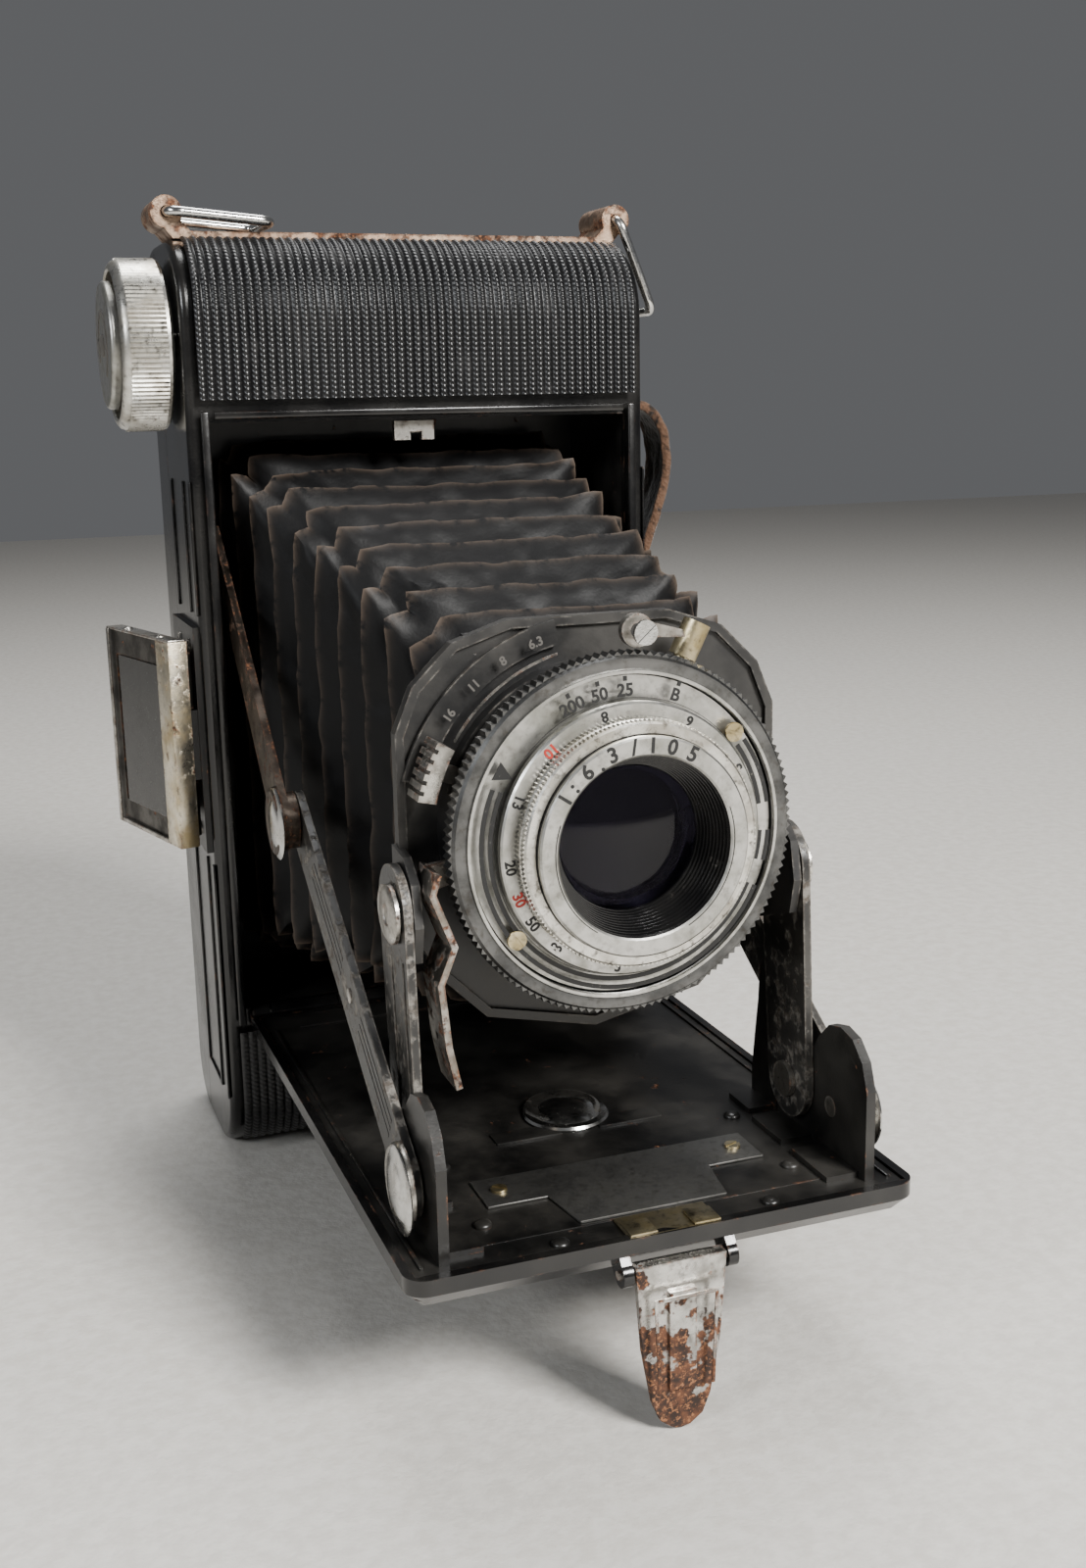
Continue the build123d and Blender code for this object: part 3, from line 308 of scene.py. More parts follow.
def glassy(name, colour, rough=0.02, transmission=1.0, smear=0.05, ior=1.52):
    """Glass with a coating's tint and a film of dust and finger marks."""
    material, tree, where = new_material(name)
    film = blotches(where, 3.0, 0.42, 0.80, seed=3.0)
    speck = blotches(where, 0.35, 0.66, 0.70, detail=2.0, seed=6.0)
    cloud = plus(times(film, smear), times(speck, 0.25))
    shade(tree, {
        "Base Color": tint(times(cloud, 0.6), colour, "#8c8a84"),
        "Roughness": plus(cloud, rough, clamp=True),
        "Transmission Weight": transmission, "IOR": ior, "Specular IOR Level": 0.25,
    })
    return material


def inked(name, colour):
    """Ink rolled into engraved figures: matt, with small gaps."""
    material, tree, where = new_material(name)
    thin = blotches(where, 0.5, 0.60, 0.72)
    shade(tree, {
        "Base Color": tint(times(thin, 0.5), colour, "#77746e"),
        "Roughness": plus(times(thin, 0.2), 0.5),
    })
    return material


MATERIALS = {}


def make_materials(settings):
    """Every finish of the camera, by the short name the pieces use."""
    MATERIALS.update({
        # Stove enamel: black, wet-looking, chipped to rust at rims and corners.
        "enamel": coated("stove_enamel", "#060607", 0.17, chips=(0.70, 0.76), edge=0.10, dust=0.05,
                         gloss=0.1),
        # Sprayed black on the bed, brackets and frame: satin, rubbed brown on its edges.
        "satin": coated("satin_black_paint", "#090909", 0.30, chips=(0.64, 0.72), edge=0.10, dust=0.10),
        "satin_clean": coated("black_dipped_steel", "#0f0f10", 0.40, chips=(0.69, 0.76), edge=0.16,
                              dust=0.16, chip="steel"),
        "nickel": plated("worn_nickel", "#c9c6bf", "#8d8880", 0.20, rust=(0.62, 0.72), edge_rust=0.16),
        "link": coated("link_black_over_nickel", "#161616", 0.30, chips=(0.50, 0.64), edge=0.34,
                       dust=0.16, chip="steel"),
        "chrome": plated("chrome_plate", "#d6d6d4", "#b3b1ac", 0.09, rust=(0.70, 0.78), edge_rust=0.02,
                         grime=0.3),
        "foot": plated("rust_eaten_chrome", "#d2d0cb", "#8f8c86", 0.16, rust=(0.58, 0.68), edge_rust=0.20,
                       where_rust=((-0.62, 0, -0.78), -ORIGIN.x - 0.0205, -0.0015)),
        "rusty": plated("rusted_strip_steel", "#9a8069", "#5a4030", 0.30, rust=(0.40, 0.56),
                        edge_rust=0.3, grime=0.7),
        "strut": plated("browned_strut_steel", "#5e554d", "#2a2420", 0.34, rust=(0.53, 0.66),
                        edge_rust=0.2, grime=0.8),
        "trigger": plated("spotted_nickel", "#bfbab2", "#857d72", 0.24, rust=(0.50, 0.60), edge_rust=0.2),
        "aluminium": plated("turned_aluminium", "#c4c3bf", "#98978f", 0.24, rust=(0.90, 0.96), grime=0.35),
        "knurl": plated("knurled_aluminium", "#dddbd4", "#aaa59a", 0.22, rust=(0.90, 0.96), grime=0.8),
        "speed": plated("grey_anodised_aluminium", "#6c6c6b", "#474746", 0.26, rust=(0.90, 0.96), grime=0.5),
        "plate_grey": plated("grey_blank_plate", "#8f8e8b", "#64635f", 0.34, rust=(0.72, 0.82), grime=0.4),
        "brass": plated("tarnished_brass", "#cfc3a2", "#97875f", 0.26, rust=(0.74, 0.84), grime=0.7),
        "copper": plated("rust_on_copper_plate", "#b39a84", "#6e5545", 0.30, rust=(0.47, 0.62),
                         edge_rust=0.25),
        "anodised": coated("black_anodised_cell", "#0d0d0e", 0.20, chips=(0.84, 0.90), edge=0.0,
                           dust=0.06, chip="steel"),
        "leatherette": leatherette_material(settings.rib_pitch / MM),
        # The bellows' worn colour goes in fine lines on the fold ridges: worn brown at the corners and a
        # painted highlight along the ridges
        "bellows": leathery("bellows_leather", "#050506", "#4f443b", grain_mm=0.5, rough=0.50,
                            wear=(0.80, 0.90), creases=0.14, sheen=0.0, thin=26.0, grain=0.06),
        "strap": leathery("strap_leather", "#120e0b", "#5a4130", grain_mm=0.7, rough=0.66,
                          wear=(0.52, 0.70), creases=0.5),
        "glass": glassy("coated_lens_glass", "#8f8ba0", rough=0.01, smear=0.012, ior=1.28),
        "pane": glassy("finder_glass", "#5c5f60", rough=0.05, smear=0.25),
        "red": glassy("ruby_window", "#8e0d0a", rough=0.12),
        "ink": inked("black_ink", "#0c0c0c"),
        "red_ink": inked("red_ink", "#a3271c"),
        "grey_ink": inked("worn_white_ink", "#55524e"),
        "finder_frame": plated("dulled_finder_steel", "#5d5a55", "#34312e", 0.30, rust=(0.60, 0.70),
                               edge_rust=0.2),
        # Blades and rear cell: black steel, coloured darker still as painted shade for the inside of the lens
        "iris": coated("blades_darkened_as_painted_shade", "#050506", 0.75, chips=(0.80, 0.86), edge=0.0, dust=0.04,
                       chip="steel"),
        "finder_face": plated("stained_finder_chrome", "#e8e0cc", "#c7b48c", 0.22, rust=(0.55, 0.66),
                              grime=0.25, edge_rust=0.16),
    })


# ---------------------------------------------------------------- mesh helpers

def linked(name, data):
    """A new object in the scene."""
    piece = bpy.data.objects.new(name, data)
    bpy.context.scene.collection.objects.link(piece)
    return piece


def curve_mesh(curve):
    """The mesh of a curve."""
    holder = linked("curve", curve)
    bpy.context.view_layer.update()
    mesh = bpy.data.meshes.new_from_object(holder.evaluated_get(bpy.context.evaluated_depsgraph_get()))
    bpy.data.objects.remove(holder)
    return mesh


def sheet_piece(name, verts, rows, mark, values, closed=False):
    """Rows of points, in millimetres, made an open sheet with a number marked on each point.
    closed joins the ends of each row."""
    row = len(verts) // rows
    faces = [[k * row + i, k * row + (i + 1) % row, (k + 1) * row + (i + 1) % row, (k + 1) * row + i]
             for k in range(rows - 1) for i in range(row if closed else row - 1)]
    mesh = bpy.data.meshes.new(name)
    mesh.from_pydata([tuple(CAMERA @ Vector(v)) for v in verts], [], faces)
    mesh.attributes.new(mark, "FLOAT", "POINT").data.foreach_set("value", values)
    return linked(name, mesh)


def thicken(piece, thickness, offset):
    """Gives a sheet its thickness, inwards at offset -1 and outwards at 1."""
    solid = piece.modifiers.new("thickness", "SOLIDIFY")
    solid.thickness = thickness
    solid.offset = offset
    return piece


class Shell:
    """Closed shapes that become one piece, in millimetres."""

    def __init__(self):
        self.verts = []
        self.faces = []

    def add(self, verts, faces, place=Matrix()):
        """More points and faces, moved by place."""
        start = len(self.verts)
        self.verts += [place @ Vector(v) for v in verts]
        self.faces += [[start + i for i in face] for face in faces]
        return self

    def prism(self, outline, low, high, place=Matrix()):
        """An (x, y) outline made solid from low to high along local Z."""
        count = len(outline)
        verts = [(x, y, low) for x, y in outline] + [(x, y, high) for x, y in outline]
        sides = [[i, (i + 1) % count, count + (i + 1) % count, count + i] for i in range(count)]
        return self.add(verts, [list(range(count))[::-1], list(range(count, 2 * count))] + sides, place)

    def box(self, x, y, z, place=Matrix()):
        """A block from its (low, high) pairs."""
        return self.prism([(x[0], y[0]), (x[1], y[0]), (x[1], y[1]), (x[0], y[1])], *z, place)

    def lathe(self, profile, steps=96, place=Matrix()):
        """A closed loop of (radius, height) points turned about local Z; radius 0 is a pole."""
        verts, rings = [], []
        for radius, height in profile:
            turns = range(1 if radius == 0 else steps)
            rings.append([len(verts) + i for i in turns])
            verts += [(*spoke(radius, 360 * i / steps), height) for i in turns]
        faces = []
        for ring, after in zip(rings, rings[1:] + rings[:1]):
            for i in range(steps if len(ring) + len(after) > 2 else 0):
                j = (i + 1) % steps
                corners = [loop[k % len(loop)] for loop, k in ((ring, i), (ring, j), (after, j), (after, i))]
                faces.append(list(dict.fromkeys(corners)))
        return self.add(verts, faces, place)

    def arc(self, radii, angles, heights, place=Matrix(), step=3.0):
        """A sector of a flat ring."""
        count = max(2, math.ceil(abs(angles[1] - angles[0]) / step))
        turns = [angles[0] + (angles[1] - angles[0]) * i / count for i in range(count + 1)]
        inner, outer = [[spoke(radius, turn) for turn in turns] for radius in radii]
        return self.prism(inner + outer[::-1], *heights, place)

    def object(self, name, place=CAMERA):
        """The object, with its faces pointing outwards."""
        mesh = bpy.data.meshes.new(name)
        mesh.from_pydata([tuple(place @ v) for v in self.verts], [], self.faces)
        work = bmesh.new()
        work.from_mesh(mesh)
        bmesh.ops.remove_doubles(work, verts=work.verts, dist=1e-7)
        bmesh.ops.recalc_face_normals(work, faces=work.faces)
        work.to_mesh(mesh)
        work.free()
        return linked(name, mesh)


def baked(piece):
    """Turns a piece's modifiers into a plain mesh."""
    bpy.context.view_layer.update()
    depsgraph = bpy.context.evaluated_depsgraph_get()
    mesh = bpy.data.meshes.new_from_object(piece.evaluated_get(depsgraph))
    piece.modifiers.clear()
    piece.data = mesh
    return piece


def fit(piece, body, material, slot, *replaced, sharp=35.0):
    """Shades a finished piece, gives it its material and body, and hides the nodes it stands for. slot is not
    used.
    """
    mesh = piece.data
    mesh.polygons.foreach_set("use_smooth", [True] * len(mesh.polygons))
    mesh.set_sharp_from_angle(angle=math.radians(sharp))
    mesh.materials.clear()
    mesh.materials.append(MATERIALS[material])
    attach(piece, body)
    if replaced:
        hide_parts(*replaced)
    return piece


def bevelled(piece, width_mm, segments=2):
    """Eases a piece's edges."""
    modifier = piece.modifiers.new("ease", "BEVEL")
    modifier.width = width_mm * MM
    modifier.segments = segments
    modifier.limit_method = "ANGLE"
    return baked(piece)


# ---------------------------------------------------------------- geometry nodes

def new_tree(name, sockets):
    """A Geometry Nodes tree with named inputs, and its input node's sockets."""
    tree = bpy.data.node_groups.new(name, "GeometryNodeTree")
    tree.interface.new_socket("Geometry", in_out="INPUT", socket_type="NodeSocketGeometry")
    for label, kind, value in sockets:
        socket = tree.interface.new_socket(label, in_out="INPUT", socket_type="NodeSocket" + kind)
        if value is not None:
            socket.default_value = value
    tree.interface.new_socket("Material", in_out="INPUT", socket_type="NodeSocketMaterial")
    tree.interface.new_socket("Geometry", in_out="OUTPUT", socket_type="NodeSocketGeometry")
    return tree, add(tree, "NodeGroupInput").outputs


def close_tree(tree, start, parts):
    """Joins the parts, and ends the tree in Realize Instances and Set Material."""
    joined = add(tree, "GeometryNodeJoinGeometry")
    for part in parts:
        tree.links.new(part, joined.inputs[0])
    real = add(tree, "GeometryNodeRealizeInstances", {"Geometry": joined.outputs[0]})
    painted = add(tree, "GeometryNodeSetMaterial", {0: real.outputs[0], "Material": start["Material"]})
    add(tree, "NodeGroupOutput", {0: painted.outputs[0]})
    return tree


def grip_tree():
    """Upright ridges in a row round a ring, for knurled and serrated rims."""
    lengths = [(label, "Float", 0.0) for label in ("Radius", "Width", "Length", "Height")]
    tree, start = new_tree("grip_teeth", [("Teeth", "Int", 3)] + lengths)
    circle = add(tree, "GeometryNodeMeshCircle", {"Vertices": start["Teeth"], "Radius": start["Radius"]})
    size = add(tree, "ShaderNodeCombineXYZ", {"X": start["Width"], "Y": start["Width"], "Z": start["Length"]})
    ridge = add(tree, "GeometryNodeMeshCube", {"Size": size.outputs[0]})
    share = calc("DIVIDE", add(tree, "GeometryNodeInputIndex").outputs[0], start["Teeth"])
    turn = plus(times(share, 2 * math.pi), math.pi / 4)
    euler = add(tree, "ShaderNodeCombineXYZ", {"Z": turn})
    rotation = add(tree, "FunctionNodeEulerToRotation", {"Euler": euler.outputs[0]})
    row = add(tree, "GeometryNodeInstanceOnPoints", {
        "Points": circle.outputs[0], "Instance": ridge.outputs[0], "Rotation": rotation.outputs[0]})
    lift = add(tree, "ShaderNodeCombineXYZ", {"Z": start["Height"]})
    placed = add(tree, "GeometryNodeTranslateInstances", {
        "Instances": row.outputs[0], "Translation": lift.outputs[0], "Local Space": False})
    return close_tree(tree, start, [start["Geometry"], placed.outputs[0]])


def fastener_tree():
    """A screw or rivet head on each point, each spun by a seeded random angle."""
    tree, start = new_tree("fastener_heads", [
        ("Head", "Object", None), ("Turn", "Vector", (0, 0, 0)), ("Seed", "Int", 5)])
    head = add(tree, "GeometryNodeObjectInfo", {"Object": start["Head"]})
    spin = add(tree, "FunctionNodeRandomValue", {"Min": 0.0, "Max": math.pi, "Seed": start["Seed"]},
               data_type="FLOAT")
    about = next(socket for socket in spin.outputs if socket.enabled)
    euler = add(tree, "ShaderNodeCombineXYZ", {"Z": about})
    own = add(tree, "FunctionNodeEulerToRotation", {"Euler": euler.outputs[0]})
    facing = add(tree, "FunctionNodeEulerToRotation", {"Euler": start["Turn"]})
    turned = add(tree, "FunctionNodeRotateRotation", {0: facing.outputs[0], 1: own.outputs[0]},
                 rotation_space="LOCAL")
    heads = add(tree, "GeometryNodeInstanceOnPoints", {
        "Points": start["Geometry"], "Instance": head.outputs["Geometry"], "Rotation": turned.outputs[0]})
    return close_tree(tree, start, [heads.outputs[0]])


def rib_tree():
    """Raises a sheet along its normals into half-round ribs that run along the camera."""
    tree, start = new_tree("leatherette_ribs", [("Pitch", "Float", 0.0021), ("Height", "Float", 0.0003)])
    split = add(tree, "ShaderNodeSeparateXYZ", {0: add(tree, "GeometryNodeInputPosition").outputs[0]})
    wave = times(calc("DIVIDE", split.outputs[0], start["Pitch"]), math.pi)
    crown = times(calc("ABSOLUTE", calc("SINE", wave)), start["Height"])
    normal = add(tree, "GeometryNodeInputNormal").outputs[0]
    push = add(tree, "ShaderNodeVectorMath", {0: normal, "Scale": crown}, operation="SCALE")
    raised = add(tree, "GeometryNodeSetPosition", {"Geometry": start["Geometry"], "Offset": push.outputs[0]})
    return close_tree(tree, start, [raised.outputs[0]])


def grow(piece, tree, material, **inputs):
    """Runs a tree on a piece, sets its inputs by identifier, and keeps the result as a plain mesh."""
    modifier = piece.modifiers.new(tree.name, "NODES")
    modifier.node_group = tree
    inputs["Material"] = MATERIALS[material]
    for item in tree.interface.items_tree:
        if item.in_out == "INPUT" and item.name in inputs:
            modifier[item.identifier] = inputs[item.name]
    return baked(piece)


def tree_named(name, builder):
    """The tree, built on first use."""
    return bpy.data.node_groups.get(name) or builder()


def gripped(name, profile, place, material, rows, steps=120):
    """A turned ring with rows of (teeth, radius, width, length, height) ridges, all in millimetres."""
    piece = Shell().lathe(profile, steps).object(name, Matrix.Scale(MM, 4))
    for teeth, radius, width, length, height in rows:
        grow(piece, tree_named("grip_teeth", grip_tree), material, Teeth=teeth, Radius=radius * MM,
             Width=width * MM, Length=length * MM, Height=height * MM)
    piece.data.transform(CAMERA @ place @ Matrix.Scale(1 / MM, 4))
    return piece


def fasteners(name, points, along, head, body, material, slot, seed=5, replaced=()):
    """Heads of one kind on one body, facing "front", "top" or "left"; points are in millimetres,
    and head is a Shell that faces local Z."""
    turns = {"front": (math.pi / 2, 0, 0), "top": (0, 0, 0), "left": (0, -math.pi / 2, 0)}
    pattern = head.object(name + "_head", Matrix.Scale(MM, 4))
    piece = Shell().add(points, []).object(name)
    grow(piece, tree_named("fastener_heads", fastener_tree), material, Head=pattern, Turn=turns[along],
         Seed=seed)
    bpy.data.objects.remove(pattern)
    return fit(piece, body, material, slot, *replaced)


def turned_piece(name, profile, steps, place, *finish, sharp=35.0):
    """A turned piece; finish is its body, material, slot and the nodes it stands for."""
    return fit(Shell().lathe(profile, steps, place).object(name), *finish, sharp=sharp)


def screw_head(radius, height, slot=0.22):
    """A slotted head: two half discs either side of the slot, on a floor."""
    head = Shell().lathe([(0, -0.2), (radius, -0.2), (radius, height * 0.55), (0, height * 0.55)], 20)
    gap = math.degrees(math.asin(slot / radius))
    for side in (0, 180):
        turns = [side + gap + (180 - 2 * gap) * i / 10 for i in range(11)]
        head.prism([spoke(radius * 0.98, turn) for turn in turns], 0, height)
    return head


def rivet_head(radius, height):
    """A domed head."""
    dome = [(radius * math.cos(t), height * math.sin(t)) for t in (0.0, 0.35, 0.7, 1.05, 1.35)]
    return Shell().lathe([(0, -0.3), (radius, -0.3)] + dome + [(0, height)], 20)


# ---------------------------------------------------------------- CAD finishes

NODE_FINISH = {
    "enamel": ["body_shell", "back_cover", "bed_panel"],
    "satin": ["inner_frame", "bed_inner_plate", "bed_brackets", "window_rails", "window_shutter",
              "back_latch", "pressure_plate", "finder_base"],
    "satin_clean": ["lens_standard", "shutter_case", "aperture_scale"],
    # The parts behind the front glass get the near-black blade finish: their own black with painted shade added
    "iris": ["rear_lens_cell", "iris_blades", "shutter_blade_left", "shutter_blade_right"],
    "nickel": ["body_pins", "strap_anchor", "bed_catch", "takeup_spool", "supply_spool", "guide_roller_top",
               "guide_roller_bottom", "standard_pins", "aperture_lever", "tripod_bush", "bed_pins",
               "release_lever"],
    "link": ["standard_link_left", "standard_link_right", "lower_strut_left", "lower_strut_right"],
    "chrome": ["strap_loop_left", "strap_loop_right"],
    "foot": ["foot"],
    "copper": ["strap_strip"],
    "strut": ["upper_strut_left", "upper_strut_right"],
    "trigger": ["trigger"],
    "aluminium": ["scale_plate", "wind_knob_cap"],
    "brass": ["cable_socket"],
    "red": ["red_window"],
    "finder_frame": ["finder_front"],
    "rusty": ["finder_rear"],
}


def finish_nodes():
    """Gives every CAD node that no visual piece replaces its own finish."""
    for finish, names in NODE_FINISH.items():
        for name in names:
            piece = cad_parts[name]
            if not piece.data.materials:
                piece.data.materials.append(MATERIALS[finish])
            for slot in piece.material_slots:
                slot.material = MATERIALS[finish]


# ---------------------------------------------------------------- stage

def make_stage(settings):
    """Pale floor, soft lights and the camera at the product view."""
    half, drop = 1.6, 0.0002
    corners = [(-half, -half, -drop), (half, -half, -drop), (half, half, -drop), (-half, half, -drop)]
    floor = Shell().add(corners, [[0, 1, 2, 3]]).object("floor", Matrix())
    material, tree, where = new_material("pale_floor")
    grain = blotches(where, 3.0, 0.3, 0.7, detail=4.0)
    shade(tree, {
        "Base Color": tint(grain, (*settings.floor_colour, 1.0), "#c3bfb8"),
        "Roughness": 0.60,
        "Normal": relief(grain, 0.07),
    })
    floor.data.materials.append(material)
    lamps = [
        ("key", (0.30, -0.72, 0.62), 0.26, settings.key_power, (1.0, 0.985, 0.96)),
        ("side", (-0.66, -0.34, 0.46), 0.22, settings.key_power * 0.16, (0.94, 0.97, 1.0)),
        ("top", (0.10, 0.34, 0.86), 0.40, settings.key_power * 0.30, (1.0, 1.0, 1.0)),
    ]
    for name, place, size, power, colour in lamps:
        lamp = bpy.data.lights.new(name, "AREA")
        lamp.size = size
        lamp.energy = power
        lamp.color = colour
        holder = linked(name, lamp)
        holder.location = place
        aim = Vector((0, -0.01, 0.07)) - Vector(place)
        holder.rotation_euler = aim.to_track_quat("-Z", "Y").to_euler()
    world = bpy.data.worlds.new("soft_room")
    world.use_nodes = True
    background = world.node_tree.nodes["Background"]
    background.inputs["Color"].default_value = (*settings.room_colour, 1.0)
    background.inputs["Strength"].default_value = settings.room_light
    bpy.context.scene.world = world
    eye = bpy.data.cameras.new("view")
    eye.lens = 38.47
    eye.sensor_fit = "VERTICAL"
    eye.sensor_height = 36.0
    eye.clip_start = 0.01
    forward = Vector((0.33711, 0.91477, -0.22274)).normalized()
    right = forward.cross(Vector((0, 0, 1))).normalized()
    up = right.cross(forward)
    roll = math.radians(-1.16)
    across = math.cos(roll) * right + math.sin(roll) * up
    upright = -math.sin(roll) * right + math.cos(roll) * up
    holder = linked("view", eye)
    holder.matrix_world = frame_at(CAMERA @ Vector((-83.29, -278.79, 131.8)), across, upright, -forward)
    bpy.context.scene.camera = holder


# ---------------------------------------------------------------- leatherette and bellows

def ribbed_sheet(name, path, half_width, settings, thickness=0.3, steps=8):
    """A ribbed sheet that follows (y, z) points up the camera, from -half_width to half_width."""
    pitch = settings.rib_pitch / MM
    columns = round(2 * half_width / pitch) * steps
    lengths = [0.0]
    for start, end in zip(path, path[1:]):
        lengths.append(lengths[-1] + math.dist(start, end))
    verts = [(-half_width + 2 * half_width * i / columns, y, z) for y, z in path for i in range(columns + 1)]
    along = [length * MM for length in lengths for _ in range(columns + 1)]
    piece = sheet_piece(name, verts, len(path), "along", along)
    grow(piece, tree_named("leatherette_ribs", rib_tree), "leatherette", Pitch=settings.rib_pitch,
         Height=settings.rib_height)
    return baked(thicken(piece, thickness * MM, -1.0))


def arc_path(centre, radius, start, end, steps=14):
    """Points on an arc in the (y, z) plane; 180 degrees is the front and 90 the top."""
    offsets = [spoke(radius, start + (end - start) * i / steps) for i in range(steps + 1)]
    return [(centre[0] + y, centre[1] + z) for y, z in offsets]


def straight(start, end, steps):
    """Points on a straight line in the (y, z) plane."""
    return [tuple(Vector(start).lerp(Vector(end), i / steps)) for i in range(steps + 1)]


def make_leatherette(settings):
    """The four covered faces: both film chambers, the back and the underside of the bed."""
    half_width = mm_box("body_leather")[1].x
    round_front, lift = 13.0, 0.32
    top_centre = (round_front, mm_box("body_shell")[1].z - round_front)
    top = straight((-lift, 133.0), (-lift, top_centre[1] - 0.3), 12)
    top += arc_path(top_centre, round_front + lift, 180, 103.0)
    sheet = ribbed_sheet("leatherette_top", top, half_width, settings)
    fit(sheet, "body", "leatherette", "leatherette", "body_leather")
    bottom_centre = (round_front, round_front)
    bottom = arc_path(bottom_centre, round_front + lift, 226, 180)
    bottom += straight((-lift, 13.6), (-lift, 24.8), 10)
    sheet = ribbed_sheet("leatherette_bottom", bottom, half_width, settings)
    fit(sheet, "body", "leatherette", "leatherette")
    back = mm_box("back_cover")[1].y
    face = back + lift
    # The path runs downwards, so that the ribs stand out of the back.
    back_path = arc_path((26.2, 149.0), 10.0 + lift, 90, 0) + straight((face, 148.6), (face, 11.0), 60)
    sheet = ribbed_sheet("leatherette_back", back_path, half_width, settings)
    hole = Shell().lathe([(0, 30), (6.4, 30), (6.4, 45), (0, 45)], 48, axis_place(0, 0, 60, "back"))
    hole = hole.object("window_hole")
    cut = sheet.modifiers.new("window", "BOOLEAN")
    cut.object = hole
    cut.operation = "DIFFERENCE"
    baked(sheet)
    bpy.data.objects.remove(hole)
    fit(sheet, "back", "leatherette", "leatherette", "leather_back")
    under = mm_box("bed_leather")[0]
    level = under.z + 0.4
    for name, near, far in (("leatherette_bed_front", -95.6, -67.2), ("leatherette_bed_rear", -52.2, -5.0)):
        sheet = ribbed_sheet(name, straight((far, level), (near, level), 20), 32.6, settings, thickness=0.25)
        fit(sheet, "bed", "leatherette", "leatherette", "bed_leather")


def bellows_ring(half_width, low, high, chamfer, pull, y, rng, sides=9):
    """One fold line round the bellows: four sides that sag a little and four cut corners."""
    corners = [(-half_width, low), (half_width, low), (half_width, high), (-half_width, high)]
    points = []
    for i, (x, z) in enumerate(corners):
        before = corners[i - 1]
        after = corners[(i + 1) % 4]
        for other in (before, after):
            run = Vector((other[0] - x, other[1] - z)).normalized() * chamfer
            points.append(Vector((x, z)) + run)
    ring = []
    for i in range(0, 8, 2):
        first, second, onward = points[i], points[i + 1], points[(i + 2) % 8]
        middle = (first + second) / 2
        inward = (Vector((0, (low + high) / 2)) - middle).normalized()
        # The second number is each point's mark for the worn colour, which on the ridges paints worn leather
        # and a painted highlight
        ring.append((first, 1.0))
        ring.append((middle + inward * pull, 1.0))
        ring.append((second, 1.0))
        for k in range(1, sides):
            ring.append((second.lerp(onward, k / sides), 0.98))
    loose = [(p, worn, 0.75 if worn == 1.0 else 0.14) for p, worn in ring]
    return [(Vector((p.x + rng.uniform(-r, r), y + rng.uniform(-r, r), p.y + rng.uniform(-r, r))), worn)
            for p, worn, r in loose]


def make_bellows(settings):
    """Pleated leather bellows that taper from the film gate to the standard, with worn edges and a painted
    highlight along the ridges.
    """
    rng = random.Random(31)
    low, high = mm_box("bellows")
    front, back = low.y + 0.1, high.y - 0.1
    verts, wear = [], []
    rings = 4 * settings.pleats + 1
    for k in range(rings):
        share = k / (rings - 1)
        y = back + (front - back) * share
        # From the film gate's opening to the standard's.
        half, bottom, top = Vector((32.6, 32.8, 126.6)).lerp(Vector((21.4, 50.8, 102.6)), share)
        fold = 1 - abs(2 * (k % 4) / 4 - 1)
        depth = settings.pleat_depth / MM * (1 - fold)
        chamfer = 3.2 + 5.2 * (1 - fold)
        pull = 1.6 * fold - 1.2 * (1 - fold)
        if k in (0, rings - 1):
            depth, chamfer, pull = 1.2, 3.0, 0.2
        ring = bellows_ring(half - depth, bottom + depth, top - depth, chamfer, pull, y, rng)
        verts += [tuple(p) for p, _ in ring]
        # Ridges are marked for the worn colour: partly real wear, partly a painted highlight where the ridges
        # would catch light
        wear += [worn * fold for _, worn in ring]
    piece = sheet_piece("bellows_folds", verts, rings, "wear", wear, closed=True)
    crease = piece.modifiers.new("smooth", "SUBSURF")
    crease.subdivision_type = "SIMPLE"
    crease.levels = crease.render_levels = 2
    baked(piece)
    for vertex in piece.data.vertices:
        place = vertex.co / MM
        crumple = noise.fractal(place / 5.0, 0.6, 2.0, 4)
        out = Vector((place.x - ORIGIN.x / MM, 0, place.z - LENS_Z)).normalized()
        vertex.co += (out * crumple * 0.34 + Vector((0, noise.noise(place / 3.0) * 0.4, 0))) * MM
    baked(thicken(piece, 0.5 * MM, 1.0))
    fit(piece, "body", "bellows", "bellows_leather", "bellows", sharp=50.0)
    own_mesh(piece)


# ---------------------------------------------------------------- shutter and lens

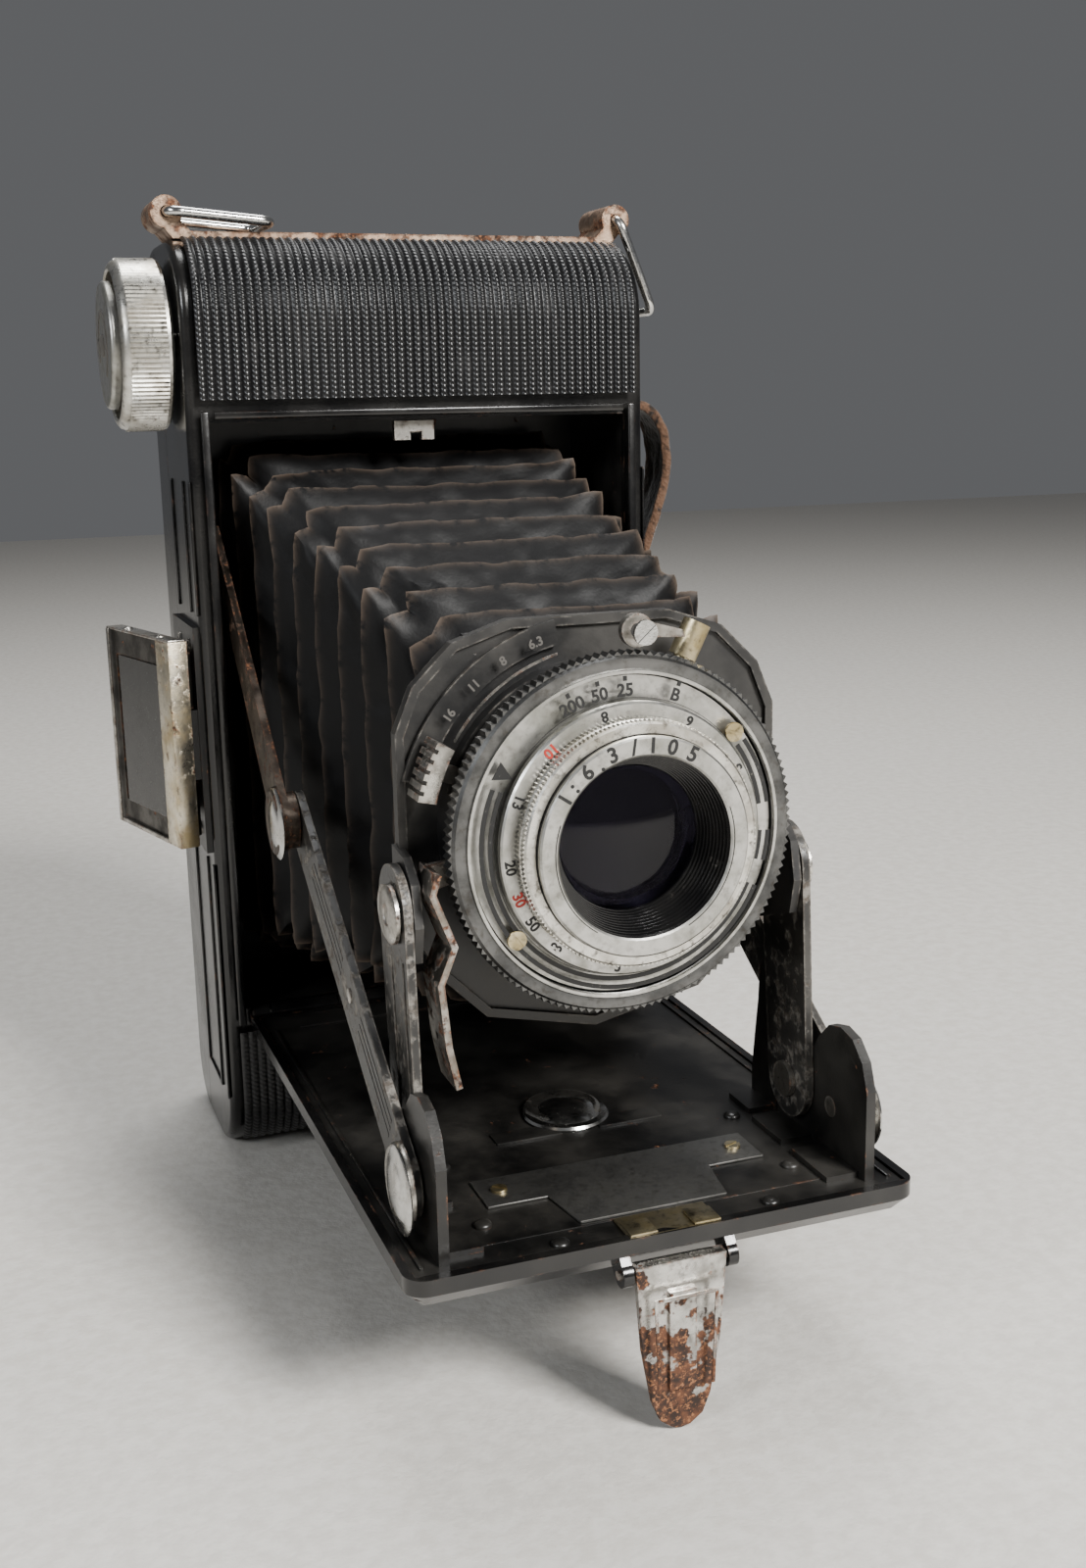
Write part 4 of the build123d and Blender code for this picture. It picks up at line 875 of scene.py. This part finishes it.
def make_knob(settings):
    """Winding knob: fluted rim with eased edges, brown inner ring and the marks on its disc."""
    radius = (KNOB_HIGH.z - KNOB_LOW.z) / 2
    inner, outer = -KNOB_HIGH.x, 1.9 - KNOB_LOW.x
    eased = [(0.45, 1.5), (0.7, 0.7), (1.3, 0.15), (2.0, 0.0), (2.3, 0.3)]
    rim = [(2.25, inner), (radius - 1.2, inner), (radius - 0.5, inner + 0.5)]
    rim += [(radius - inset, outer - drop) for inset, drop in eased]
    rim += [(radius - 2.4, 43.4), (2.25, 43.4)]
    flutes = round(2 * math.pi * radius / (settings.flute_pitch / MM))
    width = settings.flute_pitch / MM * 0.70
    piece = gripped("winding_knob_rim", rim, KNOB, "knurl",
                    [(flutes, radius - 0.62, width, outer - inner - 2.4, (inner + outer) / 2 - 0.2)])
    fit(piece, "winder", "knurl", "aluminium", "wind_knob")
    well = [(8.6, 43.38), (11.6, 43.38), (11.6, 44.4), (11.0, 44.8), (9.2, 44.8), (8.6, 44.4)]
    turned_piece("winding_knob_well", well, 72, KNOB, "winder", "copper", "rusted_steel")
    face = Shell()
    face.arc((5.1, 5.9), (-60, 170), (KNOB_FACE, KNOB_FACE + 0.17), KNOB)
    face.prism([(-5.5, -2.6), (-4.0, 1.4), (-7.0, 1.4)], KNOB_FACE, KNOB_FACE + 0.17, KNOB)
    face.lathe([(0, 50.7), (1.9, 50.7), (1.9, 51.0), (1.5, 51.15), (0, 51.15)], 32, KNOB)
    fit(face.object("winding_knob_arrows"), "winder", "grey_ink", "black_paint")


def make_rings(settings):
    """Serrated speed ring, knurled focus grips and the turned name ring."""
    inner, outer = 21.4, 24.4
    pitch = settings.serration_pitch / MM
    teeth = round(2 * math.pi * outer / pitch)
    rim = [(inner, 81.15), (outer - 0.55, 81.15), (outer - 0.55, 83.4), (outer - 0.95, 83.95),
           (inner + 0.5, 84.0), (inner, 83.7)]
    row = (teeth, outer - 0.62, pitch * 0.66, 2.2, 82.35)
    piece = gripped("speed_ring_serrated", rim, LENS, "speed", [row], 160)
    fit(piece, "speed_dial", "speed", "aluminium", "speed_ring")
    lip = [(21.42, 83.9), (21.95, 83.9), (21.9, 84.25), (21.5, 84.25)]
    turned_piece("speed_ring_lip", lip, 120, LENS, "speed_dial", "aluminium", "aluminium")
    rim = [(14.6, 84.92), (18.05, 84.92), (18.2, 85.1), (18.15, 85.95), (17.9, 86.2), (14.6, 86.2)]
    turned_piece("distance_ring", rim, 144, LENS, "focus", "aluminium", "aluminium", "focus_ring")
    fine = settings.knurl_pitch / MM
    count = round(2 * math.pi * 16.3 / fine)
    rim = [(14.6, 86.3), (16.1, 86.3), (16.15, 87.4), (15.7, 87.7), (16.1, 88.0), (16.05, 89.0), (15.8, 89.2),
           (14.6, 89.2)]
    rows = [(count, 16.05, fine * 0.68, 1.0, 86.9), (count, 16.0, fine * 0.68, 0.9, 88.5)]
    fit(gripped("focus_grip", rim, LENS, "knurl", rows), "focus", "knurl", "aluminium")
    rim = [(11.95, 89.6), (14.3, 89.6), (14.5, 89.8), (14.45, 90.3), (14.2, 90.5), (12.2, 90.5), (11.95, 90.3)]
    turned_piece("name_ring_turned", rim, 144, LENS, "focus", "aluminium", "aluminium", "name_ring")


def make_lens(settings):
    """Front cell with its stepped anti-glare grooves, and the front glass."""
    grooves = settings.cone_grooves
    mouth, throat, front, seat = 11.9, 9.75, 90.3, 84.65
    cone = []
    for i in range(grooves):
        share, after = i / grooves, (i + 0.75) / grooves
        depth, radius = front + (seat - front) * share, mouth + (throat - mouth) * share
        lower = front + (seat - front) * after
        cone += [(radius, depth), (radius + 0.26, lower), (mouth + (throat - mouth) * after, lower)]
    cell = [(11.85, 79.65), (11.85, 84.88), (14.5, 84.88), (14.5, 89.58), (11.93, 89.58), (11.93, 90.3)] + cone
    cell += [(throat, seat), (throat, 82.0), (8.6, 82.0), (8.6, 79.65)]
    turned_piece("front_cell_grooved", cell, 144, LENS, "focus", "anodised", "black_paint", "lens_cone",
                 sharp=20.0)
    crown = [(9.6 * share, 84.55 + 1.75 * (1 - share ** 2)) for share in (0.2, 0.4, 0.6, 0.8, 0.92, 1.0)]
    glass = [(0, 82.1), (9.6, 82.1)] + crown[::-1] + [(0, 86.3)]
    turned_piece("front_glass", glass, 96, LENS, "focus", "glass", "optical_glass", "front_lens", sharp=60.0)


# Each scale's figures and their angles round the lens axis.
DISTANCES = [("8", 103, "ink"), ("6", 62, "ink"), ("5", 29, "ink"), ("10", 131, "red_ink"),
             ("13", 157, "ink"), ("20", 186, "ink"), ("30", 201, "red_ink"), ("50", 214, "ink"),
             ("∞", 230, "ink"), ("4", 352, "ink"), ("3", 262, "ink")]
SPEEDS = [("200", 113), ("50", 101.5), ("25", 91), ("B", 70)]
APERTURES = [("22", 152), ("16", 142), ("11", 131), ("8", 120), ("6.3", 109)]
LENS_FIGURES = [("1", 146), (":", 138), ("6", 127), (".", 118.5), ("3", 110), ("/", 97), ("1", 86), ("0", 74),
                ("5", 61)]


def figures(name, labels, size, place_z, inward, body, material, slot, depth=0.07):
    """Figures set round the lens axis; labels are (text, angle, radius). Their feet point to the
    axis, or their heads if inward."""
    shell = Shell()
    for text, angle, radius in labels:
        curve = bpy.data.curves.new("figure", "FONT")
        curve.body = text
        curve.size = size
        curve.align_x = curve.align_y = "CENTER"
        curve.extrude = depth / 2
        curve.offset = 0.03 * size
        curve.resolution_u = 3
        mesh = curve_mesh(curve)
        turn = Matrix.Rotation(math.radians(angle + (90 if inward else -90)), 4, "Z")
        place = LENS @ Matrix.Translation((*spoke(radius, angle), place_z)) @ turn
        shell.add([v.co for v in mesh.vertices], [list(p.vertices) for p in mesh.polygons], place)
        bpy.data.meshes.remove(mesh)
    return fit(shell.object(name), body, material, slot)


def make_markings(settings):
    """Figures, ticks, the pointer and the depth-of-field lines of the scales."""
    figures("speed_figures", [(text, angle, 19.45) for text, angle in SPEEDS], 2.3, SCALE_FACE + 0.07, False,
            "standard", "ink", "black_paint")
    for ink in ("ink", "red_ink"):
        labels = [(text, angle, 17.05) for text, angle, colour in DISTANCES if colour == ink]
        figures("distance_figures_" + ink, labels, 1.95, 86.23, True, "focus", ink, "black_paint")
    labels = [(text, angle, 13.0 if text == "." else 13.2) for text, angle in LENS_FIGURES]
    figures("lens_figures", labels, 2.8, NAME_FACE, False, "focus", "ink", "black_paint")
    figures("aperture_figures", [(text, angle, 26.2) for text, angle in APERTURES], 1.7, 74.31, False,
            "standard", "grey_ink", "black_paint", 0.05)
    lines = Shell()
    for _, angle in SPEEDS:
        lines.arc((20.7, 21.35), (angle - 0.7, angle + 0.7), (SCALE_FACE, SCALE_FACE + 0.15), LENS)
    for angles in ((156, 214), (220, 335), (345, 357), (8, 35)):
        for radii in ((19.95, 20.55), (18.75, 19.35)):
            lines.arc(radii, angles, (SCALE_FACE, SCALE_FACE + 0.11), LENS)
    pointer = [spoke(18.4, 149.5), spoke(20.9, 153.0), spoke(20.9, 146.0)]
    lines.prism(pointer, SCALE_FACE, SCALE_FACE + 0.11, LENS)
    lines.lathe([(18.45, 84.66), (18.52, 84.66), (18.52, 84.74), (18.45, 84.74)], 144, LENS)
    fit(lines.object("scale_lines"), "standard", "ink", "black_paint")
    ring = Shell()
    for angles in ((-62, 20), (160, 236)):
        ring.arc((12.35, 12.47), angles, (NAME_FACE - 0.04, NAME_FACE + 0.05), LENS)
    fit(ring.object("turned_lines"), "focus", "ink", "black_paint")
    slit = Shell().arc((23.8, 24.15), (104, 148), (74.88, 75.02), LENS)
    fit(slit.object("aperture_slit_edge"), "standard", "nickel", "steel")


# ---------------------------------------------------------------- fittings

def polar(radius, angle):
    """The (x, z) place at an angle round the lens axis."""
    x, z = spoke(radius, angle)
    return x, LENS_Z + z


def make_fasteners(settings):
    """Screw and rivet heads on the shutter, bed, finder and top strip."""
    size = settings.screw_radius / MM
    screws = [(x, -84.55, z) for x, z in (polar(19.75, 40), polar(19.75, 217))]
    fasteners("scale_plate_screws", screws, "front", screw_head(size, 0.42), "standard", "brass", "brass", 3,
              ("shutter_screws",))
    fasteners("release_screw", [(2.4, -84.95, 102.9)], "front", screw_head(1.65, 0.35), "standard",
              "chrome", "chrome", 8)
    pairs = ((22.6, -88.0), (22.6, -70.0), (15.0, -96.5), (27.0, -91.0), (27.0, -78.5))
    spots = [(s * x, y, PLATE_TOP + 0.25) for x, y in pairs for s in (-1, 1)]
    fasteners("bed_rivets", spots, "top", rivet_head(1.25, 0.55), "bed", "satin", "black_paint")
    fasteners("blank_plate_screws", [(s * 17.6, -80.0, PLATE_TOP + 0.4) for s in (-1, 1)], "top",
              screw_head(1.15, 0.45), "bed", "brass", "brass", 12)
    strip = mm_box("strap_strip")
    middle = (strip[0].y + strip[1].y) / 2
    fasteners("strip_rivets", [(s * x, middle, 160.15) for x in (31.0, 12.0) for s in (-1, 1)], "top",
              rivet_head(1.3, 0.5), "body", "copper", "rusted_steel")
    fasteners("finder_base_screws", [(-41.25, y, z) for y in (8.0, 17.5) for z in (60.5, 92.5)], "left",
              screw_head(1.2, 0.4), "body", "nickel", "steel", 21)


def make_bed_trim(settings):
    """Blank stepped plate, brass keeper with its lips, and the domed tripod cap."""
    top = PLATE_TOP
    outline = [(-20.5, -76), (20.5, -76), (20.5, -84), (12, -84), (10.6, -92.4), (-10.6, -92.4),
               (-12, -84), (-20.5, -84)]
    plate = bevelled(Shell().prism(outline, top, top + 0.4).object("blank_plate"), 0.12)
    fit(plate, "bed", "plate_grey", "steel", "bed_trim")
    keeper = Shell().box((-6.4, 6.4), (-99.2, -93.4), (top, top + 0.45))
    for lip in ((-6.4, -2.6), (2.6, 6.4)):
        keeper.box(lip, (-99.2, -95.4), (top + 0.45, top + 0.8))
    fit(bevelled(keeper.object("catch_keeper"), 0.12), "bed", "brass", "brass")
    dome = [(0, 0.05), (6.3, 0.05), (6.45, 0.35), (6.2, 0.7), (5.3, 0.85), (5.1, 0.6), (4.9, 0.75),
            (4.3, 1.25), (3.2, 1.6), (1.8, 1.8), (0, 1.85)]
    turned_piece("tripod_cap", dome, 64, Matrix.Translation((0, -59.7, top)), "bed", "chrome", "chrome")
    ribs = Shell()
    for s in (-1, 1):
        ribs.box(tuple(sorted((s * 33.0, s * 33.5))), (-96, -8), (top - 0.05, top + 0.35))
    for x, y, height in (((-29, 29), (-8.4, -7.8), 0.35), ((-13, -3), (-66, -62.4), 0.3),
                         ((3, 13), (-66, -62.4), 0.3), ((-28, 28), (-93.2, -92.8), 0.12)):
        ribs.box(x, y, (top - 0.05, top + height))
    fit(bevelled(ribs.object("bed_pressings"), 0.15), "bed", "satin", "frame_black")


def dome_profile(radius, height, base):
    """A flat rim with a raised dome inside it."""
    rim = [(0, 0.0), (radius, 0.0), (radius + 0.08, 0.15), (radius - 0.25, 0.34)]
    dome = [(radius * 0.74, 0.40), (radius * 0.66, 0.62), (radius * 0.5, 0.86), (radius * 0.28, 0.97), (0, 1.0)]
    return [(r, base + height * share) for r, share in rim + dome]


def strut_place(side, start, end, x):
    """A frame on a strut's outer face: local X runs along it, local Z outwards."""
    run = Vector((0, end[0] - start[0], end[1] - start[1])).normalized()
    outward = Vector((side, 0, 0))
    return frame_at((side * x, *start), run, outward.cross(run), outward)


def make_struts(settings):
    """Domed pivots, the pressed grooves of the lower struts, and the link pivots."""
    knuckle, foot, link_foot, link_top = (-31.82, 69.70), (-88.0, 34.3), (-78.0, 35.0), (-75.5, 67.0)
    length = math.dist(knuckle, foot)
    for side, letter, way in ((-1, "l", "left"), (1, "r", "right")):
        turned_piece("knuckle_dome_" + letter, dome_profile(5.45, 0.95, 35.6), 56,
                     axis_place(0, *knuckle, way), "upper_strut_" + letter, "chrome", "chrome")
        turned_piece("foot_dome_" + letter, dome_profile(5.7, 1.15, 33.4), 56,
                     axis_place(0, *foot, way), "bed", "chrome", "chrome")
        place = strut_place(side, knuckle, foot, 32.4)
        lines = Shell()
        for offset in (-1.55, 0.0, 1.55):
            for start, end in ((0.16, 0.44), (0.60, 0.86)):
                reach = (length * start, length * end)
                lines.box(reach, (offset - 0.33, offset + 0.33), (-0.05, 0.06), place)
        fit(lines.object("strut_grooves_" + letter), "lower_strut_" + letter, "satin", "black_paint")
        pip = [(0, -0.05), (1.1, -0.05), (1.1, 0.2), (0.8, 0.35), (0, 0.35)]
        turned_piece("strut_pip_" + letter, pip, 24, place @ Matrix.Translation((length * 0.52, 0, 0)),
                     "lower_strut_" + letter, "nickel", "steel")
        disc = [(0, 29.7), (4.0, 29.7), (4.0, 30.2), (3.4, 30.55), (1.5, 30.6), (1.3, 30.4), (0, 30.4)]
        turned_piece("link_rivet_" + letter, disc, 40, axis_place(0, *link_top, way), "standard",
                     "nickel", "steel")
        slot = strut_place(side, link_foot, link_top, 29.4)
        edge = Shell()
        for offset in (-3.1, 2.5):
            edge.box((5.0, 26.0), (offset, offset + 0.6), (-0.05, 0.18), slot)
        fit(bevelled(edge.object("link_ridges_" + letter), 0.08), "link_" + letter, "link", "black_paint")
        boss = [(0, 30.95), (3.2, 30.95), (3.2, 31.5), (2.6, 31.75), (0, 31.75)]
        turned_piece("bracket_boss_" + letter, boss, 32, axis_place(0, *link_foot, way), "bed", "satin",
                     "black_paint")
    outline = arc_path((-70.2, 45.2), 3.2, 0, 360, 20)[:-1]
    stay = Shell().prism(outline, 31.0, 31.6, frame_at((0, 0, 0), (0, 1, 0), (0, 0, 1), (1, 0, 0)))
    fit(bevelled(stay.object("stay_pressing"), 0.25), "bed", "satin", "black_paint")


def make_hand_strap(settings):
    """Stub of a torn leather hand strap: it arches out of its anchor and frays at its end."""
    rng = random.Random(12)
    route = [(41.6, 131.0), (44.6, 131.2), (47.8, 129.6), (50.0, 126.2), (50.7, 121.6), (50.2, 116.0),
             (48.4, 110.4), (46.4, 105.0), (45.2, 100.6), (45.0, 96.8)]
    spline = bpy.data.curves.new("route", "CURVE")
    spline.dimensions = "3D"
    run = spline.splines.new("NURBS")
    run.points.add(len(route) - 1)
    for point, (x, z) in zip(run.points, route):
        point.co = (x, 0, z, 1)
    run.order_u = 3
    run.use_endpoint_u = True
    spline.resolution_u = 6
    centre = [vertex.co for vertex in curve_mesh(spline).vertices]
    low, high = mm_box("hand_strap")
    columns = 22
    torn = [rng.uniform(0.0, 3.6) if i % 2 else rng.uniform(0.0, 1.2) for i in range(columns + 1)]
    verts, wear = [], []
    rows = len(centre)
    for k, point in enumerate(centre):
        share = k / (rows - 1)
        for i in range(columns + 1):
            across = i / columns
            edge = abs(2 * across - 1)
            side = 3.0 if across > 0.5 else 8.0      # a different noise row for each edge
            narrow = 1 - 0.10 * share + 0.05 * noise.noise(Vector((share * 9, side, 2)))
            y = (low.y + high.y) / 2 + (across - 0.5) * (high.y - low.y) * narrow
            cup = 0.7 * edge ** 3
            drop = torn[i] * max(0.0, share - 0.82) / 0.18
            bump = noise.noise(Vector((share * 14, across * 5, 5))) * 0.35
            verts.append((point.x - cup + bump, y, point.z + drop))
            wear.append(min(1.0, edge ** 6 + max(0.0, share - 0.80) * 4))
    piece = sheet_piece("torn_hand_strap", verts, rows, "wear", wear)
    thicken(piece, settings.strap_thickness, 0.0)
    soft = piece.modifiers.new("soft", "SUBSURF")
    soft.levels = soft.render_levels = 1
    baked(piece)
    fit(piece, "body", "strap", "leather", "hand_strap", sharp=60.0)


def leaf_place(x, y, way):
    """A frame on an open finder leaf: X runs along it and Y outwards. way is 1 at the front leaf
    and -1 at the rear one."""
    sine, cosine = math.sin(LEAF_TURN), math.cos(LEAF_TURN)
    return frame_at((x, y, 0), (-sine, way * cosine, 0), (-cosine, -way * sine, 0), (0, 0, 1))


def make_finder(settings):
    """Finder panes, the bright folded edge of the front leaf, and its rivets."""
    place = leaf_place(-42.9, 2.9, 1)
    pane = Shell().box((5.02, 22.38), (2.24, 2.86), (63.02, 89.48), place)
    fit(pane.object("finder_pane_front"), "finder_leaf", "pane", "optical_glass")
    edge = Shell().box((-0.75, -0.45), (-0.2, 3.1), (LEAF_LOW, LEAF_HIGH), place)
    edge.box((-0.7, 4.6), (2.98, 3.2), (LEAF_LOW, LEAF_HIGH), place)
    fit(bevelled(edge.object("finder_edge"), 0.08), "finder_leaf", "finder_face", "chrome")
    rim = Shell().box((25.6, 26.6), (2.98, 3.3), (LEAF_LOW, LEAF_HIGH), place)
    rim.box((4.7, 25.5), (2.98, 3.25), (LEAF_LOW, LEAF_LOW + 0.8), place)
    fit(bevelled(rim.object("finder_rim"), 0.1), "finder_leaf", "nickel", "steel")
    top = Shell().box((-0.6, 26.6), (0.1, 3.1), (93.85, 94.25), place)
    fit(bevelled(top.object("finder_flange"), 0.1), "finder_leaf", "nickel", "steel")
    points = [place @ Vector((u, 1.7, 94.25)) for u in (6.0, 20.0)]
    fasteners("finder_flange_rivets", [tuple(p) for p in points], "top", rivet_head(0.9, 0.4),
              "finder_leaf", "nickel", "steel", 4)
    pane = Shell().box((3.63, 10.17), (-0.28, 0.28), (67.03, 84.97), leaf_place(-42.6, 22.0, -1))
    fit(pane.object("finder_pane_rear"), "finder_eye", "pane", "optical_glass")


def make_body_trim(settings):
    """Raised beads on the ends of the body and round its front opening."""
    for side, letter in ((-1, "left"), (1, "right")):
        bead = Shell()
        x = tuple(sorted((side * (BODY_HALF - 0.1), side * (BODY_HALF + 0.35))))
        # The left beads stop either side of the folded finder, and under the knob.
        for z in (((12.0, 55.0), (98.0, 120.0)) if side < 0 else ((12.0, 120.0),)):
            for y in ((1.6, 3.0), (8.4, 9.2), (21.4, 22.2)):
                bead.box(x, y, z)
        bead.box(x, (9.3, 21.3), (12.0, 12.8))
        fit(bevelled(bead.object("side_beads_" + letter), 0.2, 3), "body", "enamel", "black_enamel")
    rim = Shell().box((-36.0, 36.0), (-0.35, 0.3), (129.9, 131.2))
    for x in ((-38.2, -36.8), (36.8, 38.2)):
        rim.box(x, (-0.35, 0.3), (26.0, 131.2))
    fit(bevelled(rim.object("mouth_bead"), 0.3, 3), "body", "enamel", "black_enamel")


def make_stand(settings):
    """Pressed outline on the stand."""
    face = 102.2
    heights = (face - 0.1, face + 0.14)
    place = axis_place(0, 0, 0, "front")
    line = Shell()
    for s in (-1, 1):
        line.prism([(s * 3.6, 6.6), (s * 4.0, 6.6), (s * 4.5, 19.5), (s * 4.1, 19.5)], *heights, place)
    line.prism([(-4.5, 19.5), (4.5, 19.5), (4.5, 20.0), (-4.5, 20.0)], *heights, place)
    fit(line.object("stand_pressing"), "stand", "foot", "chrome")


# ---------------------------------------------------------------- add-on

def size_property(name, value_mm, description, low=0.05, high=40.0):
    """A length that is given in millimetres and kept in metres."""
    return bpy.props.FloatProperty(name=name, description=description, default=value_mm * MM, min=low * MM,
                                   max=high * MM, subtype="DISTANCE", unit="LENGTH", precision=5)


class FoldingCameraSizes(bpy.types.PropertyGroup):
    """Sizes of the repeated details."""
    rib_pitch: size_property("Rib pitch", 1.45, "Width of one cord of the leatherette")
    rib_height: size_property("Rib height", 0.34, "How far a cord stands out")
    pleats: bpy.props.IntProperty(name="Pleats", description="Folds of the bellows", default=10, min=4,
                                  max=20)
    pleat_depth: size_property("Pleat depth", 5.6, "How far a fold dips between its ridges")
    flute_pitch: size_property("Flute pitch", 0.8, "Spacing of the winding knob's flutes")
    serration_pitch: size_property("Serration pitch", 1.15, "Spacing of the speed ring's teeth")
    knurl_pitch: size_property("Knurl pitch", 0.62, "Spacing of the focus grip's teeth")
    screw_radius: size_property("Screw radius", 1.3, "Head radius of the scale plate's screws")
    strap_thickness: size_property("Strap thickness", 1.7, "Thickness of the leather hand strap")
    cone_grooves: bpy.props.IntProperty(name="Cone grooves", description="Anti-glare steps in the front cell",
                                        default=10, min=4, max=30)


class FoldingCameraStage(bpy.types.PropertyGroup):
    """Floor and lamps."""
    floor_colour: bpy.props.FloatVectorProperty(
        name="Floor", description="Colour of the floor", subtype="COLOR", size=3,
        default=linear("#cfccc6")[:3], min=0.0, max=1.0)
    room_colour: bpy.props.FloatVectorProperty(
        name="Room", description="Colour of the light from all round", subtype="COLOR", size=3,
        default=linear("#d4d6da")[:3], min=0.0, max=1.0)
    room_light: bpy.props.FloatProperty(name="Room light", description="Strength of the light from all round",
                                        default=0.18, min=0.0, max=5.0, subtype="FACTOR")
    key_power: bpy.props.FloatProperty(name="Key light", description="Power of the main lamp", default=20.0,
                                       min=0.0, max=200.0, subtype="POWER", unit="POWER")


class MakeStep:
    """Shared by the operators: runs one making function with the scene's sizes."""
    bl_options = {"REGISTER"}

    def execute(self, context):
        type(self).make(context.scene.folding_camera_sizes)
        return {"FINISHED"}


class FOLDCAM_OT_finishes(bpy.types.Operator):
    """Make every finish and give the CAD nodes theirs"""
    bl_idname = "foldcam.finishes"
    bl_label = "Finishes"

    def execute(self, context):
        make_materials(context.scene.folding_camera_sizes)
        finish_nodes()
        return {"FINISHED"}


class FOLDCAM_OT_leatherette(MakeStep, bpy.types.Operator):
    """Cover the body, back and bed in ribbed leatherette"""
    bl_idname = "foldcam.leatherette"
    bl_label = "Leatherette"
    make = staticmethod(make_leatherette)


class FOLDCAM_OT_body_trim(MakeStep, bpy.types.Operator):
    """Add the beads pressed into the body"""
    bl_idname = "foldcam.body_trim"
    bl_label = "Body beads"
    make = staticmethod(make_body_trim)


class FOLDCAM_OT_bellows(MakeStep, bpy.types.Operator):
    """Make the pleated bellows"""
    bl_idname = "foldcam.bellows"
    bl_label = "Bellows"
    make = staticmethod(make_bellows)


class FOLDCAM_OT_hand_strap(MakeStep, bpy.types.Operator):
    """Make the torn hand strap"""
    bl_idname = "foldcam.hand_strap"
    bl_label = "Hand strap"
    make = staticmethod(make_hand_strap)


class FOLDCAM_OT_knob(MakeStep, bpy.types.Operator):
    """Make the fluted winding knob"""
    bl_idname = "foldcam.knob"
    bl_label = "Winding knob"
    make = staticmethod(make_knob)


class FOLDCAM_OT_rings(MakeStep, bpy.types.Operator):
    """Make the speed ring and the focus grips"""
    bl_idname = "foldcam.rings"
    bl_label = "Shutter rings"
    make = staticmethod(make_rings)


class FOLDCAM_OT_lens(MakeStep, bpy.types.Operator):
    """Make the grooved front cell and its glass"""
    bl_idname = "foldcam.lens"
    bl_label = "Front lens"
    make = staticmethod(make_lens)


class FOLDCAM_OT_markings(MakeStep, bpy.types.Operator):
    """Mark the scales with figures, ticks and lines"""
    bl_idname = "foldcam.markings"
    bl_label = "Scale markings"
    make = staticmethod(make_markings)


class FOLDCAM_OT_struts(MakeStep, bpy.types.Operator):
    """Add the pivots, grooves and ridges of the struts and links"""
    bl_idname = "foldcam.struts"
    bl_label = "Strut pivots"
    make = staticmethod(make_struts)


class FOLDCAM_OT_bed_trim(MakeStep, bpy.types.Operator):
    """Make the bed's plates, keeper, pressings and tripod cap"""
    bl_idname = "foldcam.bed_trim"
    bl_label = "Bed trim"
    make = staticmethod(make_bed_trim)


class FOLDCAM_OT_stand(MakeStep, bpy.types.Operator):
    """Add the outline pressed into the stand"""
    bl_idname = "foldcam.stand"
    bl_label = "Stand pressing"
    make = staticmethod(make_stand)


class FOLDCAM_OT_finder(MakeStep, bpy.types.Operator):
    """Make the finder's panes and bright folded edges"""
    bl_idname = "foldcam.finder"
    bl_label = "Finder"
    make = staticmethod(make_finder)


class FOLDCAM_OT_fasteners(MakeStep, bpy.types.Operator):
    """Scatter the screw and rivet heads"""
    bl_idname = "foldcam.fasteners"
    bl_label = "Screws and rivets"
    make = staticmethod(make_fasteners)


class FOLDCAM_OT_stage(bpy.types.Operator):
    """Set the floor, lamps and view"""
    bl_idname = "foldcam.stage"
    bl_label = "Stage"

    def execute(self, context):
        make_stage(context.scene.folding_camera_stage)
        return {"FINISHED"}


OPERATORS = (FOLDCAM_OT_finishes, FOLDCAM_OT_leatherette, FOLDCAM_OT_body_trim, FOLDCAM_OT_bellows,
             FOLDCAM_OT_hand_strap, FOLDCAM_OT_knob, FOLDCAM_OT_rings, FOLDCAM_OT_lens, FOLDCAM_OT_markings,
             FOLDCAM_OT_struts, FOLDCAM_OT_bed_trim, FOLDCAM_OT_stand, FOLDCAM_OT_finder, FOLDCAM_OT_fasteners,
             FOLDCAM_OT_stage)


class FOLDCAM_PT_panel(bpy.types.Panel):
    """The making steps, in the order they run"""
    bl_label = "Folding Camera"
    bl_idname = "FOLDCAM_PT_panel"
    bl_space_type = "VIEW_3D"
    bl_region_type = "UI"
    bl_category = "Folding Camera"

    def draw(self, context):
        for group in (context.scene.folding_camera_sizes, context.scene.folding_camera_stage):
            box = self.layout.box()
            for name in group.__annotations__:
                box.prop(group, name)
        for operator in OPERATORS:
            self.layout.operator(operator.bl_idname)


CLASSES = (FoldingCameraSizes, FoldingCameraStage) + OPERATORS + (FOLDCAM_PT_panel,)


def register():
    for item in CLASSES:
        bpy.utils.register_class(item)
    bpy.types.Scene.folding_camera_sizes = bpy.props.PointerProperty(type=FoldingCameraSizes)
    bpy.types.Scene.folding_camera_stage = bpy.props.PointerProperty(type=FoldingCameraStage)


def unregister():
    del bpy.types.Scene.folding_camera_stage
    del bpy.types.Scene.folding_camera_sizes
    for item in reversed(CLASSES):
        bpy.utils.unregister_class(item)


def main():
    register()
    bpy.ops.foldcam.finishes()
    bpy.ops.foldcam.leatherette()
    bpy.ops.foldcam.body_trim()
    bpy.ops.foldcam.bellows()
    bpy.ops.foldcam.hand_strap()
    bpy.ops.foldcam.knob()
    bpy.ops.foldcam.rings()
    bpy.ops.foldcam.lens()
    bpy.ops.foldcam.markings()
    bpy.ops.foldcam.struts()
    bpy.ops.foldcam.bed_trim()
    bpy.ops.foldcam.stand()
    bpy.ops.foldcam.finder()
    bpy.ops.foldcam.fasteners()
    bpy.ops.foldcam.stage()


if __name__ == "__main__":
    main()
